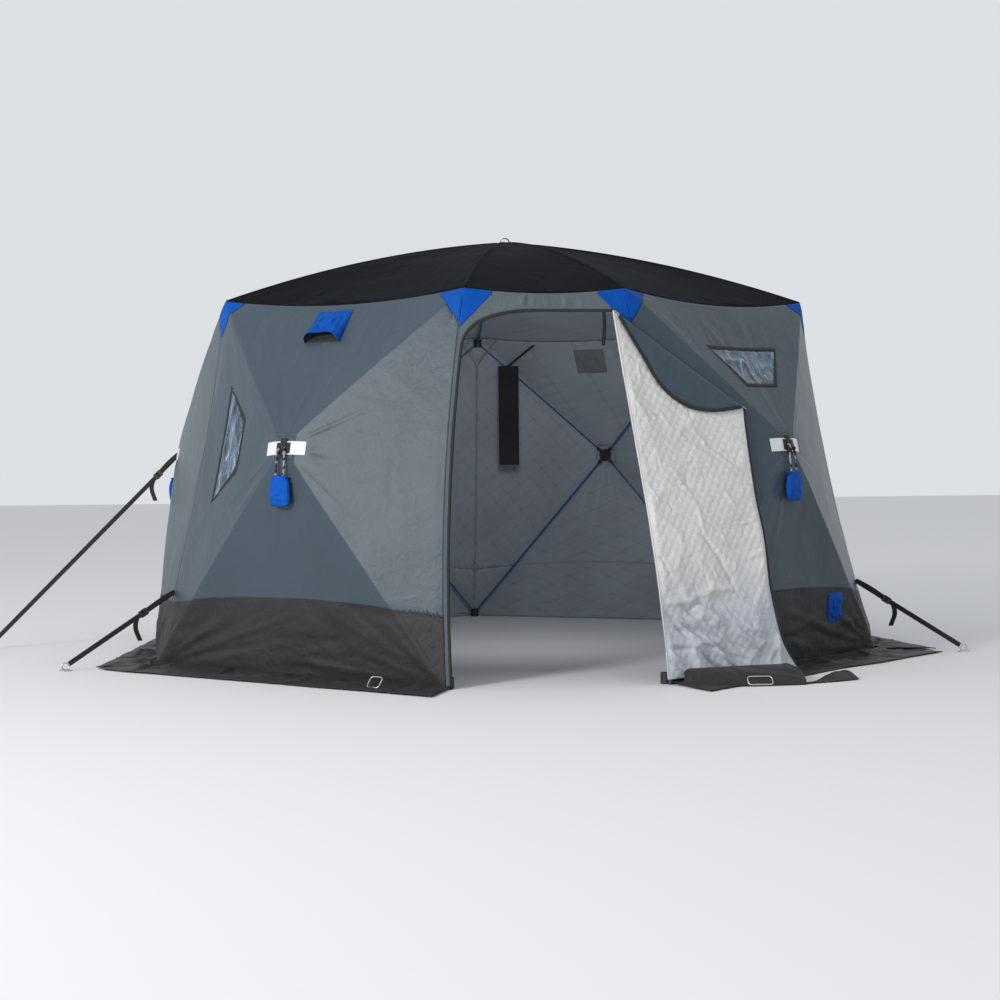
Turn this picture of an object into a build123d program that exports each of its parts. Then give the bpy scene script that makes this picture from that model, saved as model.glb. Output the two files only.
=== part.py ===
from build123d import *
import math
import os

# Pop-up fabric hut for ice fishing, seen from the door at the front (-Y).
# Seven corners in plan: a narrow flat door wall and six wide walls, each pushed out by
# four rods that spring from a hub at its middle. Millimetres, +Z up, ground at Z = 0.

# Plan and heights
rim_radius = 1620.0
foot_radius = 2000.0
door_rim_width = 750.0
door_foot_width = 1005.0
rim_height = 1850.0
door_rim_height = 1810.0
apex_height = 2235.0
wide_walls = 6

# Fabric and how far it bows between the rods
fabric = 6.0
corner_mitre = 1.13
eave_sag = 50.0
seam_bow_in = 40.0
door_seam_bow = 45.0
roof_bow = 50.0
roof_dip = 25.0
ridge_bow = 12.0
facet_dip = 22.0
roof_hub_radius = 60.0
band_height = 345.0

# Wall hubs
hub_height = 1080.0
hub_reach = 255.0
hub_patch = 110.0

# Doorway
left_jamb = 28.0
right_jamb = 79.0
right_jamb_foot = 9.0
jamb_taper_height = 1160.0
header_drop = 113.0
arch_width = 340.0
arch_drop = 165.0
arch_pull_in = 24.0
arch_pull_down = 10.0
zipper_width = 14.0

# Windows, as trapezoids that taper towards the hub
window_long = 600.0
window_short = 270.0
window_depth = 235.0
window_edge = 20.0
top_window_reach = 550.0
side_window_reach = 640.0
window_places = [
    ("front_right", "top"),
    ("right", "side"),
    ("rear_left", "top"),
    ("left", "top"),
    ("front_left", "side"),
]

# Vent hoods below the eave
vent_walls = ["front_left", "rear_right"]
hood_width = 215.0
hood_length = 190.0
hood_eave_gap = 100.0
hood_mouth = 55.0
hood_bulge = 88.0
hood_cloth = 4.0
hood_top_seam = 12.0

# Corner reinforcements
patch_width = 125.0
patch_drop = 185.0
patch_tip_drop = 12.0
cut_reach = 160.0

# Snow skirt on the ground
skirt_width = 300.0
skirt_gap = 4.0
skirt_clearance = 0.7
skirt_flare = 0.35

# Rods, hubs and corner cups
rod_radius = 5.5
socket_radius = 10.0
socket_length = 45.0
socket_wall_gap = 0.3
hub_disc_radius = 38.0
hub_disc_thickness = 24.0
roof_disc_radius = 46.0
roof_rod_bow = 58.0
cup_radius = 25.0
cup_height = 50.0
cup_inset = 49.0
cup_drop = 42.0
cup_core = 13.0
socket_root = 8.0
socket_heel = 20.0

# Cap and pull tab on the roof
cap_radius = 52.0
cap_height = 6.0
cap_round = 3.6
tab_radius = 26.0

# Straps and pouches on the outside of the hubs
strip_length = 240.0
strip_height = 64.0
strip_thickness = 2.5
crossing_width = 84.0
crossing_height = 92.0
pouch_width = 118.0
pouch_height = 138.0
pouch_depth = 44.0
pouch_drop = 200.0
pouch_clearance = 1.4
pouch_corner = 0.4
# Sections of a pouch as shares of its size: height above the middle, width, depth
pouch_sections = [(0.5, 0.82, 0.4), (0.2, 0.98, 0.8), (-0.3, 1.0, 1.0), (-0.5, 0.86, 0.6)]
rope_radius = 3.0
rope_stand_off = 14.0

# Guy strap, corner tie-downs and their anchors
webbing_width = 25.0
webbing_thickness = 2.4
guy_wall = "left"
guy_run = 1070.0
guy_buckle_at = 0.11
tie_corners = [1, 2, 3, 4, 5]
tie_run = 450.0
tie_buckle_at = 0.3
tail_length = 120.0
strap_gap = 0.6
buckle_length = 46.0
buckle_width = 36.0
buckle_thickness = 12.0
buckle_corner = 7.0
buckle_window = 14.0
anchor_ring_radius = 17.0
anchor_wire_radius = 3.5
anchor_plate_radius = 30.0
anchor_plate_thickness = 5.0

# Hose port in the band
port_wall = "front_right"
port_width = 140.0
port_height = 150.0
port_thickness = 14.0
port_corner = 28.0
port_along = 475.0
port_centre_height = 258.0

# Door flap, held open against the front right wall: its own flat outline, with the
# folded upper edge as its first axis; the fold's end and the free foot are X and Z
flap_thickness = 12.0
flap_stand_off = 0.5
flap_ridge_height = 665.0
flap_seam_height = 930.0
flap_fold_end = (977.0, 1245.0)
flap_hinge_lap = 10.0
flap_foot_height = 28.0
flap_fold_inset = 32.0
flap_free_edge = [(892.0, -98.0), (1060.0, -348.0), (1197.0, -523.0), (1326.0, -729.0), (1482.0, -910.0)]
flap_free_foot = (1183.4, 10.3)
ear_curve = [
    (128.0, -62.0),
    (225.0, -111.0),
    (324.0, -164.0),
    (412.0, -190.0),
    (504.0, -190.0),
    (588.0, -167.0),
    (689.0, -108.0),
]
ear_thickness = 8.0
flap_zipper_width = 16.0
hem_thickness = 8.0
# The hem leaves the flap's face along a line, bulges and comes down on the snow
hem_line = [(561.0, 70.0), (1107.0, 57.0)]
hem_bulge = [(550.0, -2016.0, 84.0), (812.0, -2072.0, 100.0), (1098.0, -2010.0, 70.0)]
hem_front = [(541.0, -2026.0, 0.0), (800.0, -2096.0, 0.0), (1090.0, -2057.0, 0.0)]
tongue_root = (1068.0, -2036.0)
tongue_end = (1376.0, -1887.0)
tongue_root_width = 24.0
tongue_width = 75.0
tongue_thickness = 14.0

# Toggle strap under the header and the panel that hangs at the rear
toggle_width = 18.0
toggle_length = 155.0
toggle_thickness = 3.0
toggle_place = 274.0
panel_width = 130.0
panel_height = 640.0
panel_thickness = 10.0
panel_top = 1655.0
panel_side = 190.0
panel_back = 1490.0
panel_strap_out = 0.96
panel_strap_across = 0.75

# Steel links on the skirt and the hem
hook_wire_radius = 3.0
hook_corner_radius = 14.0
hem_link_length = 112.0
hem_link_width = 44.0
hem_link_share = 0.62
hem_link_out = 0.85
hem_link_press = 0.3
skirt_link_length = 66.0
skirt_link_width = 56.0
skirt_link_along = 290.0
skirt_link_out = 160.0
skirt_link_lean = 50.0

# Accuracy of the search for a height on a curve
halving_steps = 30

UP = Vector(0, 0, 1)
WALLS = ["front_right", "right", "rear_right", "rear_left", "left", "front_left"]


def plan_angles(radius, door_width):
    """Angles of the seven corners, measured from the front towards +X."""
    half_door = math.asin(door_width / 2 / radius)
    step = (2 * math.pi - 2 * half_door) / wide_walls
    return [half_door + step * k for k in range(wide_walls + 1)]


def plan_point(radius, angle, height):
    return Vector(radius * math.sin(angle), -radius * math.cos(angle), height)


def level(vector):
    """The same direction laid flat, at unit length."""
    return Vector(vector.X, vector.Y, 0).normalized()


def middle(*points):
    total = Vector(0, 0, 0)
    for point in points:
        total = total + point
    return total * (1 / len(points))


def rim_level(index):
    return door_rim_height if index in (0, wide_walls) else rim_height


RIM = []
for index, angle in enumerate(plan_angles(rim_radius, door_rim_width)):
    RIM.append(plan_point(rim_radius, angle, rim_level(index)))
FOOT = [plan_point(foot_radius, angle, 0) for angle in plan_angles(foot_radius, door_foot_width)]


def patch(rows):
    return Face.make_bezier_surface(rows)


def closed_solid(faces):
    solid = Solid(Shell(faces))
    if solid.volume < 0:
        solid = Solid(Shell([-face for face in faces]))
    return solid


def quadratic(start, end, through):
    """Control points of a parabola through the point given for its middle."""
    return [start, through * 2 - middle(start, end), end]


def sheet(outer_grids, inner_grids, rims):
    """A closed sheet of fabric from its outer grids, inner grids and edge strips."""
    faces = [patch(grid) for grid in outer_grids + inner_grids + rims]
    return closed_solid(faces)


def corner_inset(index):
    """Shift from the outer to the inner side of the fabric at a corner seam."""
    return level(RIM[index]) * (-fabric * corner_mitre)


def seam_curve(index):
    """Corner seam from rim to foot: drawn in between wide walls, sideways at the door."""
    straight = middle(RIM[index], FOOT[index])
    if index in (0, wide_walls):
        side = 1 if index == 0 else -1
        through = straight + Vector(side * door_seam_bow, 0, 0)
    else:
        through = straight - level(RIM[index]) * seam_bow_in
    return quadratic(RIM[index], FOOT[index], through)


def eave_curve(start, end):
    sag = eave_sag if wide_wall(start, end) else eave_sag / 2
    return quadratic(RIM[start], RIM[end], middle(RIM[start], RIM[end]) - UP * sag)


def wide_wall(start, end):
    return {start, end} != {0, wide_walls}


def wall_frame(start, end):
    """Middle of the wall at hub height, its outward direction and the direction along it."""
    along = level(RIM[end] - RIM[start])
    outward = along.cross(UP)
    top = middle(RIM[start], RIM[end])
    bottom = middle(FOOT[start], FOOT[end])
    share = hub_height / top.Z
    centre = bottom + (top - bottom) * share
    return centre, level(outward), along


def cubic(points):
    """Control points of a curve that passes four points at even steps."""
    first, second, third, last = points
    near = (second * 18 - first * 5 - third * 9 + last * 2) * (1 / 6)
    far = (third * 18 - last * 5 - second * 9 + first * 2) * (1 / 6)
    return [first, near, far, last]


def parabola(points, share):
    """Point at a share of the way along a curve with three control points."""
    near = points[0] * ((1 - share) ** 2)
    centre = points[1] * (2 * share * (1 - share))
    return near + centre + points[2] * (share ** 2)


def heading(points, share):
    """Direction of a curve with three control points at a share of the way."""
    return (points[1] - points[0]) * (1 - share) + (points[2] - points[1]) * share


def grid_point(rows, out, across):
    """Point of a surface with three rows of three control points."""
    return parabola([parabola(row, across) for row in rows], out)


def share_at_height(curve, height):
    """Where a curve that falls from its start to its end passes a height."""
    low = 0.0
    high = 1.0
    for _ in range(halving_steps):
        share = (low + high) / 2
        if curve(share).Z > height:
            low = share
        else:
            high = share
    return (low + high) / 2


class HubWall:
    """One wide wall: its hub, the pad at the hub and the grids of its four facets."""

    def __init__(self, name, start, end):
        self.name = name
        self.ends = [start, end, end, start]
        centre, self.outward, self.along = wall_frame(start, end)
        self.rise = (middle(RIM[start], RIM[end]) - middle(FOOT[start], FOOT[end])).normalized()
        self.normal = self.along.cross(self.rise).normalized()
        self.hub = centre + self.outward * hub_reach
        half = hub_patch / 2
        self.pads = []
        for side, height in ((-1, 1), (1, 1), (1, -1), (-1, -1)):
            self.pads.append(self.hub + self.along * (side * half) + self.rise * (height * half))
        self.corners = [RIM[start], RIM[end], FOOT[end], FOOT[start]]
        self.edges = [
            eave_curve(start, end),
            seam_curve(end),
            quadratic(FOOT[end], FOOT[start], middle(FOOT[end], FOOT[start])),
            list(reversed(seam_curve(start))),
        ]
        self.facets = [self.facet_grid(side) for side in range(4)]

    def facet_grid(self, side):
        """Control grid of a facet, from the hub pad out to its edge of the wall."""
        following = (side + 1) % 4
        pad_a = self.pads[side]
        pad_b = self.pads[following]
        ridge_a = middle(pad_a, self.corners[side]) + self.normal * ridge_bow * 2
        ridge_b = middle(pad_b, self.corners[following]) + self.normal * ridge_bow * 2
        dip = middle(ridge_a, ridge_b) - self.normal * facet_dip * 2
        return [[pad_a, middle(pad_a, pad_b), pad_b], [ridge_a, dip, ridge_b], self.edges[side]]

    def pad_grid(self):
        return [[self.pads[0], self.pads[1]], [self.pads[3], self.pads[2]]]

    def inner_edge(self, side):
        """Inner partner of an edge of the wall, mitred against its neighbours."""
        drop = UP * fabric if side == 0 else Vector(0, 0, 0)
        inward = corner_inset(self.ends[side]) if side in (1, 3) else self.outward * -fabric
        result = []
        for place, point in enumerate(self.edges[side]):
            if place == 1:
                result.append(point + inward - drop)
            else:
                corner = self.ends[(side + place // 2) % 4]
                rim_drop = UP * fabric if point.Z > hub_height else Vector(0, 0, 0)
                result.append(point + corner_inset(corner) - rim_drop)
        return result

    def fabric_sheet(self):
        """The whole wall as one sheet of fabric, closed along its four edges."""
        outer = self.facets + [self.pad_grid()]
        inner = []
        strips = []
        back = self.normal * -fabric
        for side in range(4):
            rows = [[point + back for point in row] for row in self.facets[side][:2]]
            inner.append(rows + [self.inner_edge(side)])
            strips.append([self.edges[side], self.inner_edge(side)])
        inner.append([[point + back for point in row] for row in self.pad_grid()])
        return sheet(outer, inner, strips)

    def skin(self, low, high):
        """The layer between two heights above the outer face of the wall."""
        outer = []
        inner = []
        strips = []
        for rows in self.facets + [self.pad_grid()]:
            outer.append([[point + self.normal * high for point in row] for row in rows])
            inner.append([[point + self.normal * low for point in row] for row in rows])
        for edge in self.edges:
            raised = [point + self.normal * high for point in edge]
            lowered = [point + self.normal * low for point in edge]
            strips.append([raised, lowered])
        return sheet(outer, inner, strips)

    def facet_point(self, side, out, across):
        """Point on the outer face: out is 0 at the hub pad and 1 at the wall's edge."""
        return grid_point(self.facets[side], out, across)

    def point_below_hub(self, height):
        share = share_at_height(lambda out: self.facet_point(2, out, 0.5), height)
        return self.facet_point(2, share, 0.5)

    def point_above_hub(self, height):
        share = share_at_height(lambda out: self.facet_point(0, 1 - out, 0.5), height)
        return self.facet_point(0, 1 - share, 0.5)

    def ridge_point(self, side, share):
        """Point on a ridge, 0 at the hub pad and 1 at the corner."""
        return parabola([row[0] for row in self.facets[side]], share)


WALL_LIST = [HubWall(name, index, index + 1) for index, name in enumerate(WALLS)]
WALL = {wall.name: wall for wall in WALL_LIST}


nodes = {}


def keep(name, shapes):
    """Collect the solids of one named piece."""
    solids = []
    for shape in shapes:
        solids.extend(shape.solids())
    nodes[name] = solids


def straight(start, end):
    return Edge.make_line(start, end)


def spline(points):
    return Edge.make_spline(points)


def prism(points, push):
    """A straight prism from a flat outline of points."""
    return Solid.extrude(Face(Wire.make_polygon(points)), push)


def half_space(seat, normal):
    """All that lies in front of a plane, as far as the hut reaches."""
    size = foot_radius * 3
    return Plane(origin=seat, z_dir=normal) * Pos(0, 0, size / 2) * Box(size, size, size)


# Walls, with their windows
def window_prism(wall, place, grow):
    """A prism through one facet, in the outline of its window grown by an amount."""
    if place == "top":
        edge_a, edge_b = wall.corners[0], wall.corners[1]
        reach = top_window_reach
    elif wall.name == "front_left":
        edge_a, edge_b = wall.corners[3], wall.corners[0]
        reach = side_window_reach
    else:
        edge_a, edge_b = wall.corners[1], wall.corners[2]
        reach = side_window_reach
    along = (edge_b - edge_a).normalized()
    normal = (edge_a - wall.hub).cross(edge_b - wall.hub).normalized()
    foot = edge_a + along * (wall.hub - edge_a).dot(along)
    outwards = (foot - wall.hub).normalized()
    far = wall.hub + outwards * (reach + grow)
    near = wall.hub + outwards * (reach - window_depth - grow)
    long_half = window_long / 2 + grow
    short_half = window_short / 2 + grow
    outline = [
        far - along * long_half,
        far + along * long_half,
        near + along * short_half,
        near - along * short_half,
    ]
    return prism([point - normal * cut_reach for point in outline], normal * cut_reach * 2)


def patch_prism(index):
    """A radial prism in the kite outline of a corner reinforcement."""
    outward = level(RIM[index])
    side = UP.cross(outward)
    centre = RIM[index] - outward * cut_reach
    outline = [
        centre + UP * patch_width,
        centre - UP * patch_tip_drop + side * patch_width,
        centre - UP * patch_drop,
        centre - UP * patch_tip_drop - side * patch_width,
    ]
    return prism(outline, outward * cut_reach * 2)


def make_walls(kites):
    """Grey wall and black band of each wide wall, and what is cut out of them."""
    patches = [[] for _ in kites]
    panes = []
    borders = []
    for number, wall in enumerate(WALL_LIST):
        whole = wall.fabric_sheet()
        lower = whole & half_space(UP * band_height, UP * -1)
        upper = whole & half_space(UP * band_height, UP)
        for index in (number, number + 1):
            patches[index].append(upper & kites[index])
            upper = upper - kites[index]
        for name, place in window_places:
            if name == wall.name:
                cut_out = upper & window_prism(wall, place, 0)
                pane_prism = window_prism(wall, place, -window_edge)
                panes.append(cut_out & pane_prism)
                borders.append(cut_out - pane_prism)
                upper = upper - window_prism(wall, place, 0)
        keep("wall_" + wall.name, [upper])
        keep("band_" + wall.name, [lower])
    keep("window_panes", panes)
    keep("window_borders", borders)
    return patches


# Door wall
def door_sheet():
    """The flat door wall between its two curved seams, before the doorway is cut."""
    left = wide_walls
    right = 0
    eave = eave_curve(left, right)
    left_seam = seam_curve(left)
    right_seam = seam_curve(right)
    foot = quadratic(FOOT[left], FOOT[right], middle(FOOT[left], FOOT[right]))
    rows = [eave, [left_seam[1], middle(left_seam[1], right_seam[1]), right_seam[1]], foot]
    inner = []
    for number, row in enumerate(rows):
        drop = UP * fabric if number == 0 else Vector(0, 0, 0)
        shifts = [corner_inset(left), Vector(0, fabric, 0), corner_inset(right)]
        inner.append([point + shift - drop for point, shift in zip(row, shifts)])
    strips = [
        [rows[0], inner[0]],
        [rows[2], inner[2]],
        [[row[0] for row in rows], [row[0] for row in inner]],
        [[row[2] for row in rows], [row[2] for row in inner]],
    ]
    return sheet([rows], [inner], strips)


def door_half_width(height):
    """Half the width of the door wall at a height, with its bowed seams."""
    share = height / door_rim_height
    straight = door_foot_width / 2 + (door_rim_width - door_foot_width) / 2 * share
    return straight + door_seam_bow * 4 * share * (1 - share)


def door_face(height):
    """Y of the outer face of the door wall at a height."""
    return FOOT[0].Y + (RIM[0].Y - FOOT[0].Y) * height / door_rim_height


def hinge_side(height):
    """X of the hinge side of the doorway at a height; the jamb narrows to the foot."""
    share = min(height / jamb_taper_height, 1)
    return door_half_width(height) - right_jamb_foot - (right_jamb - right_jamb_foot) * share


def hinge_curve(top, foot, point_at):
    """Control points of a curve down the hinge side, through a point for each height."""
    step = (foot - top) / 3
    return cubic([point_at(top + step * number) for number in range(4)])


def doorway_prism(grow, beyond):
    """The doorway, arched at the upper left, grown towards its zipper and beyond its hinge."""
    top = door_rim_height - header_drop
    low = -door_seam_bow - beyond
    steps = 4
    left_points = []
    for step in range(steps + 1):
        height = (top - arch_drop) * step / steps
        left_points.append(Vector(-door_half_width(height) + left_jamb - grow, 0, height))
    right_curve = hinge_curve(top + grow, 0, lambda height: Vector(hinge_side(height) + beyond, 0, height))
    arch_start = left_points[-1]
    arch_end = Vector(arch_start.X + arch_width, 0, top + grow)
    arch_pull = Vector(arch_start.X + arch_pull_in, 0, top + grow - arch_pull_down)
    low_left = Vector(left_points[0].X, 0, low)
    low_right = Vector(right_curve[-1].X, 0, low)
    edges = [
        straight(low_left, left_points[0]),
        spline(left_points),
        Edge.make_bezier(arch_start, arch_pull, arch_end),
        straight(arch_end, right_curve[0]),
        Edge.make_bezier(*right_curve),
        straight(right_curve[-1], low_right),
        straight(low_right, low_left),
    ]
    inside = RIM[0].Y + cut_reach
    outline = Pos(0, inside, 0) * Face(Wire(edges))
    return Solid.extrude(outline, Vector(0, FOOT[0].Y - cut_reach - inside, 0))


def make_door_wall(kites, patches):
    """Header and jambs, with the fixed half of the zipper along the opening."""
    door = door_sheet()
    opening = doorway_prism(0, zipper_width)
    grown = doorway_prism(zipper_width, 0)
    zipper = (door & grown) - opening
    door = door - grown
    for index in (wide_walls, 0):
        patches[index].append(door & kites[index])
        door = door - kites[index]
    keep("door_wall", [door])
    keep("door_zipper", [zipper])
    toggle_top = door_rim_height - header_drop
    centre = Vector(toggle_place, door_face(toggle_top) + toggle_thickness / 2, toggle_top)
    strap = Box(toggle_width, toggle_thickness, toggle_length)
    keep("door_toggle", [Pos(*(centre - UP * (toggle_length / 2))) * strap])


# Roof
def make_roof():
    """Seven gores sewn into one canopy, bowed over the rods and slack between them."""
    outer = []
    inner = []
    strips = []
    count = wide_walls + 1
    ring = [level(corner) * roof_hub_radius + UP * apex_height for corner in RIM]
    for index in range(count):
        following = (index + 1) % count
        eave = eave_curve(index, following)
        ridge_a = middle(ring[index], RIM[index]) + UP * roof_bow * 2
        ridge_b = middle(ring[following], RIM[following]) + UP * roof_bow * 2
        dip = middle(ridge_a, ridge_b) - UP * roof_dip * 2
        crown = [ring[index], middle(ring[index], ring[following]), ring[following]]
        rows = [crown, [ridge_a, dip, ridge_b], eave]
        outward = level(middle(RIM[index], RIM[following]))
        shifts = [corner_inset(index), outward * -fabric, corner_inset(following)]
        inner_eave = [point + shift - UP * fabric for point, shift in zip(eave, shifts)]
        lowered = [[point - UP * fabric for point in row] for row in rows[:2]]
        outer.append(rows)
        inner.append(lowered + [inner_eave])
        strips.append([eave, inner_eave])
    top_face = Face(Wire.make_polygon(ring))
    low_face = Face(Wire.make_polygon([point - UP * fabric for point in ring]))
    faces = [patch(grid) for grid in outer + inner + strips]
    keep("roof_canopy", [closed_solid(faces + [top_face, low_face])])
    cap = Pos(0, 0, apex_height + cap_height / 2) * Cylinder(cap_radius, cap_height)
    cap = fillet(cap.faces().sort_by(Axis.Z)[-1].edges(), cap_round)
    loop = Cylinder(tab_radius, webbing_width) - Cylinder(tab_radius - webbing_thickness, webbing_width)
    loop = Pos(0, 0, apex_height + cap_height) * Rot(90, 0, 0) * loop
    loop = loop & half_space(UP * (apex_height + cap_height), UP)
    keep("roof_cap", [cap + loop])


# Frame of rods, hubs and corner cups
def sprung_rod(start, end, lift):
    """A round rod sprung into a shallow arc between two points."""
    path = Edge.make_three_point_arc(start, middle(start, end) + lift, end)
    plane = Plane(origin=start, z_dir=path.tangent_at(0))
    return Solid.sweep(Face(Wire.make_circle(rod_radius, plane)), path), path


def bar_along(start, direction, radius, length):
    plane = Plane(origin=start + direction * (length / 2), z_dir=direction)
    return plane * Cylinder(radius, length)


def cup_centre(index, at_rim):
    """Centre of the moulded cup that takes the rod ends in a corner."""
    if at_rim:
        return RIM[index] - level(RIM[index]) * cup_inset - UP * cup_drop
    return FOOT[index] - level(FOOT[index]) * cup_inset + UP * (cup_height / 2)


def fit_rod(hub, seat, disc_radius, cup, target, lift):
    """Spring a rod between a hub and a cup, and give both a socket for it."""
    towards = (target - seat).normalized()
    start = seat + towards * (disc_radius + socket_root)
    end = target - towards * cup_core
    bar, path = sprung_rod(start, end, lift)
    tangent = path.tangent_at(0)
    bore_radius = rod_radius + socket_wall_gap
    sleeve = bar_along(start - tangent * socket_heel, tangent, socket_radius, socket_length)
    hub = hub + sleeve - bar_along(start, tangent, bore_radius, socket_length)
    last = path.tangent_at(1) * -1
    cup = cup - bar_along(end, last, bore_radius, cup_height)
    return hub, cup, bar


def make_frame():
    """Six wall hubs with four rods each, and the roof hub with a rod to every corner."""
    cups = {}
    for index in range(wide_walls + 1):
        for at_rim in (True, False):
            cups[index, at_rim] = Pos(*cup_centre(index, at_rim)) * Cylinder(cup_radius, cup_height)
    wall_rods = []
    hubs = []
    for wall in WALL_LIST:
        seat = wall.hub - wall.normal * (fabric + hub_disc_thickness / 2)
        plane = Plane(origin=seat, z_dir=wall.normal, x_dir=wall.along)
        hub = plane * Cylinder(hub_disc_radius, hub_disc_thickness)
        for side in range(4):
            key = (wall.ends[side], side in (0, 1))
            target = cup_centre(*key)
            lift = wall.normal * ridge_bow
            hub, cups[key], bar = fit_rod(hub, seat, hub_disc_radius, cups[key], target, lift)
            wall_rods.append(bar)
        hubs.append(hub)
    seat = UP * (apex_height - fabric - hub_disc_thickness / 2)
    roof_hub = Pos(*seat) * Cylinder(roof_disc_radius, hub_disc_thickness)
    roof_rods = []
    for index in range(wide_walls + 1):
        key = (index, True)
        target = cup_centre(*key)
        lift = UP * roof_rod_bow
        roof_hub, cups[key], bar = fit_rod(roof_hub, seat, roof_disc_radius, cups[key], target, lift)
        roof_rods.append(bar)
    keep("wall_rods", wall_rods)
    keep("wall_hubs", hubs)
    keep("roof_rods", roof_rods)
    keep("roof_hub", [roof_hub])
    keep("corner_cups", list(cups.values()))


# Skirt
def skirt_outline_prism(number, height):
    """One length of the skirt, spread on the ground in front of its wall."""
    wall = WALL_LIST[number]
    lift_off = wall.outward * skirt_clearance
    inner_a = FOOT[number] + wall.along * skirt_gap + lift_off
    inner_b = FOOT[number + 1] - wall.along * skirt_gap + lift_off
    spread = wall.outward * skirt_width
    slant = wall.along * (skirt_width * skirt_flare)
    return prism([inner_a, inner_b, inner_b + spread + slant, inner_a + spread - slant], UP * height)


def make_skirt():
    keep("snow_skirt", [skirt_outline_prism(number, fabric) for number in range(wide_walls)])


# Straps, pouches and ropes at the hubs
def pad_prism(wall, width, height):
    """A prism through the hub pad, square to the wall."""
    x = wall.along * (width / 2)
    y = wall.rise * (height / 2)
    back = wall.hub - wall.normal * cut_reach
    outline = [back - x - y, back + x - y, back + x + y, back - x + y]
    return prism(outline, wall.normal * cut_reach * 2)


def make_pouch(wall):
    """A hanging pouch, full at the bottom and gathered at the top, and its top centre."""
    height = hub_height - pouch_drop
    back = wall.point_below_hub(height) + wall.outward * pouch_clearance
    centre = back + wall.outward * (pouch_depth / 2)
    sections = []
    for place, wide, deep in pouch_sections:
        origin = centre + UP * (place * pouch_height)
        plane = Plane(origin=origin, x_dir=wall.along, z_dir=UP)
        depth = pouch_depth * deep
        sections.append(plane * RectangleRounded(pouch_width * wide, depth, depth * pouch_corner))
    return loft(sections), centre + UP * (pouch_height / 2)


def make_hub_dress():
    """Reflective strip, webbing crossing, pouch and ropes on the outside of each hub."""
    strips = []
    crossings = []
    pouches = []
    ropes = []
    for wall in WALL_LIST:
        strips.append(wall.skin(0, strip_thickness) & pad_prism(wall, strip_length, strip_height))
        upper = wall.skin(strip_thickness, strip_thickness * 2)
        crossings.append(upper & pad_prism(wall, crossing_width, crossing_height))
        pouch, top = make_pouch(wall)
        pouches.append(pouch)
        if wall.name == guy_wall:
            continue
        for side in (-1, 1):
            sideways = wall.along * (side * rope_radius * 3)
            first = wall.hub + sideways + wall.normal * (strip_thickness * 2 + socket_wall_gap)
            second = first + wall.normal * rope_stand_off
            last = top + sideways + UP * socket_wall_gap
            line = FilletPolyline(first, second, last, radius=rope_radius * 3)
            profile = Face(Wire.make_circle(rope_radius, Plane(origin=first, z_dir=wall.normal)))
            ropes.append(Solid.sweep(profile, line.wire()))
    keep("reflective_strips", strips)
    keep("hub_straps", crossings)
    keep("hub_pouches", pouches)
    keep("hub_ropes", ropes)


# Guy strap and tie-downs
def flat_strap(start, end, across):
    """A straight length of webbing with its width along one direction."""
    direction = (end - start).normalized()
    up = direction.cross(across).normalized()
    x = across * (webbing_width / 2)
    y = up * (webbing_thickness / 2)
    return prism([start - x - y, start + x - y, start + x + y, start - x + y], end - start)


def strap_buckle(seat, normal, end, side, share):
    """A strap from its seat to its anchor, with its width upright: the buckle on it, and
    the strap with the tail that hangs there."""
    direction = (end - seat).normalized()
    across = direction.cross(side)
    place = seat + (end - seat) * share
    root = seat - direction * webbing_width
    tail_top = place + direction * (buckle_length + webbing_width) * 0.5
    strap = flat_strap(root, end, across) & half_space(seat, normal)
    strap = strap + flat_strap(tail_top, tail_top - UP * tail_length, level(direction))
    plane = Plane(origin=place, x_dir=direction, z_dir=side)
    slot_gap = socket_wall_gap * 2
    body = Box(buckle_length, buckle_width, buckle_thickness)
    body = fillet(body.edges().filter_by(Axis.Z), buckle_corner)
    slot = Box(buckle_length, webbing_width + slot_gap, webbing_thickness + slot_gap)
    window = Box(buckle_window, webbing_width + slot_gap, buckle_thickness)
    return plane * (body - slot - window), strap


def ground_anchor(place, across):
    """A ring on a ground plate, standing in line with its strap."""
    plate = Cylinder(anchor_plate_radius, anchor_plate_thickness)
    plate = Pos(place.X, place.Y, anchor_plate_thickness / 2) * plate
    centre = Vector(place.X, place.Y, anchor_plate_thickness + anchor_ring_radius)
    ring = Plane(origin=centre, z_dir=across) * Torus(anchor_ring_radius, anchor_wire_radius)
    return plate + ring, centre


def make_stays():
    """The taut guy strap of one hub and the short tie-downs of the corners."""
    wall = WALL[guy_wall]
    hub_seat = wall.hub + wall.normal * (strip_thickness * 2 + socket_wall_gap)
    stays = [(hub_seat, wall.normal, wall.hub + wall.outward * guy_run, guy_buckle_at)]
    for index in tie_corners:
        outward = level(FOOT[index])
        seam = seam_curve(index)
        share = share_at_height(lambda place: parabola(seam, place), band_height + webbing_width)
        normal = heading(seam, share).cross(UP.cross(outward)).normalized()
        seat = parabola(seam, share) + normal * strap_gap
        stays.append((seat, normal, FOOT[index] + outward * tie_run, tie_buckle_at))
    straps = []
    anchors = []
    buckles = []
    for seat, normal, foot, share in stays:
        side = UP.cross(level(normal))
        anchor, ring = ground_anchor(foot, side)
        aim = (ring - seat).normalized()
        end = ring - aim * (anchor_ring_radius + anchor_wire_radius + socket_wall_gap)
        buckle, strap = strap_buckle(seat, normal, end, side, share)
        straps.append(strap)
        anchors.append(anchor)
        buckles.append(buckle)
    keep("guy_strap", straps[:1])
    keep("corner_tie_downs", straps[1:])
    keep("strap_buckles", buckles)
    keep("ground_anchors", anchors)


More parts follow.
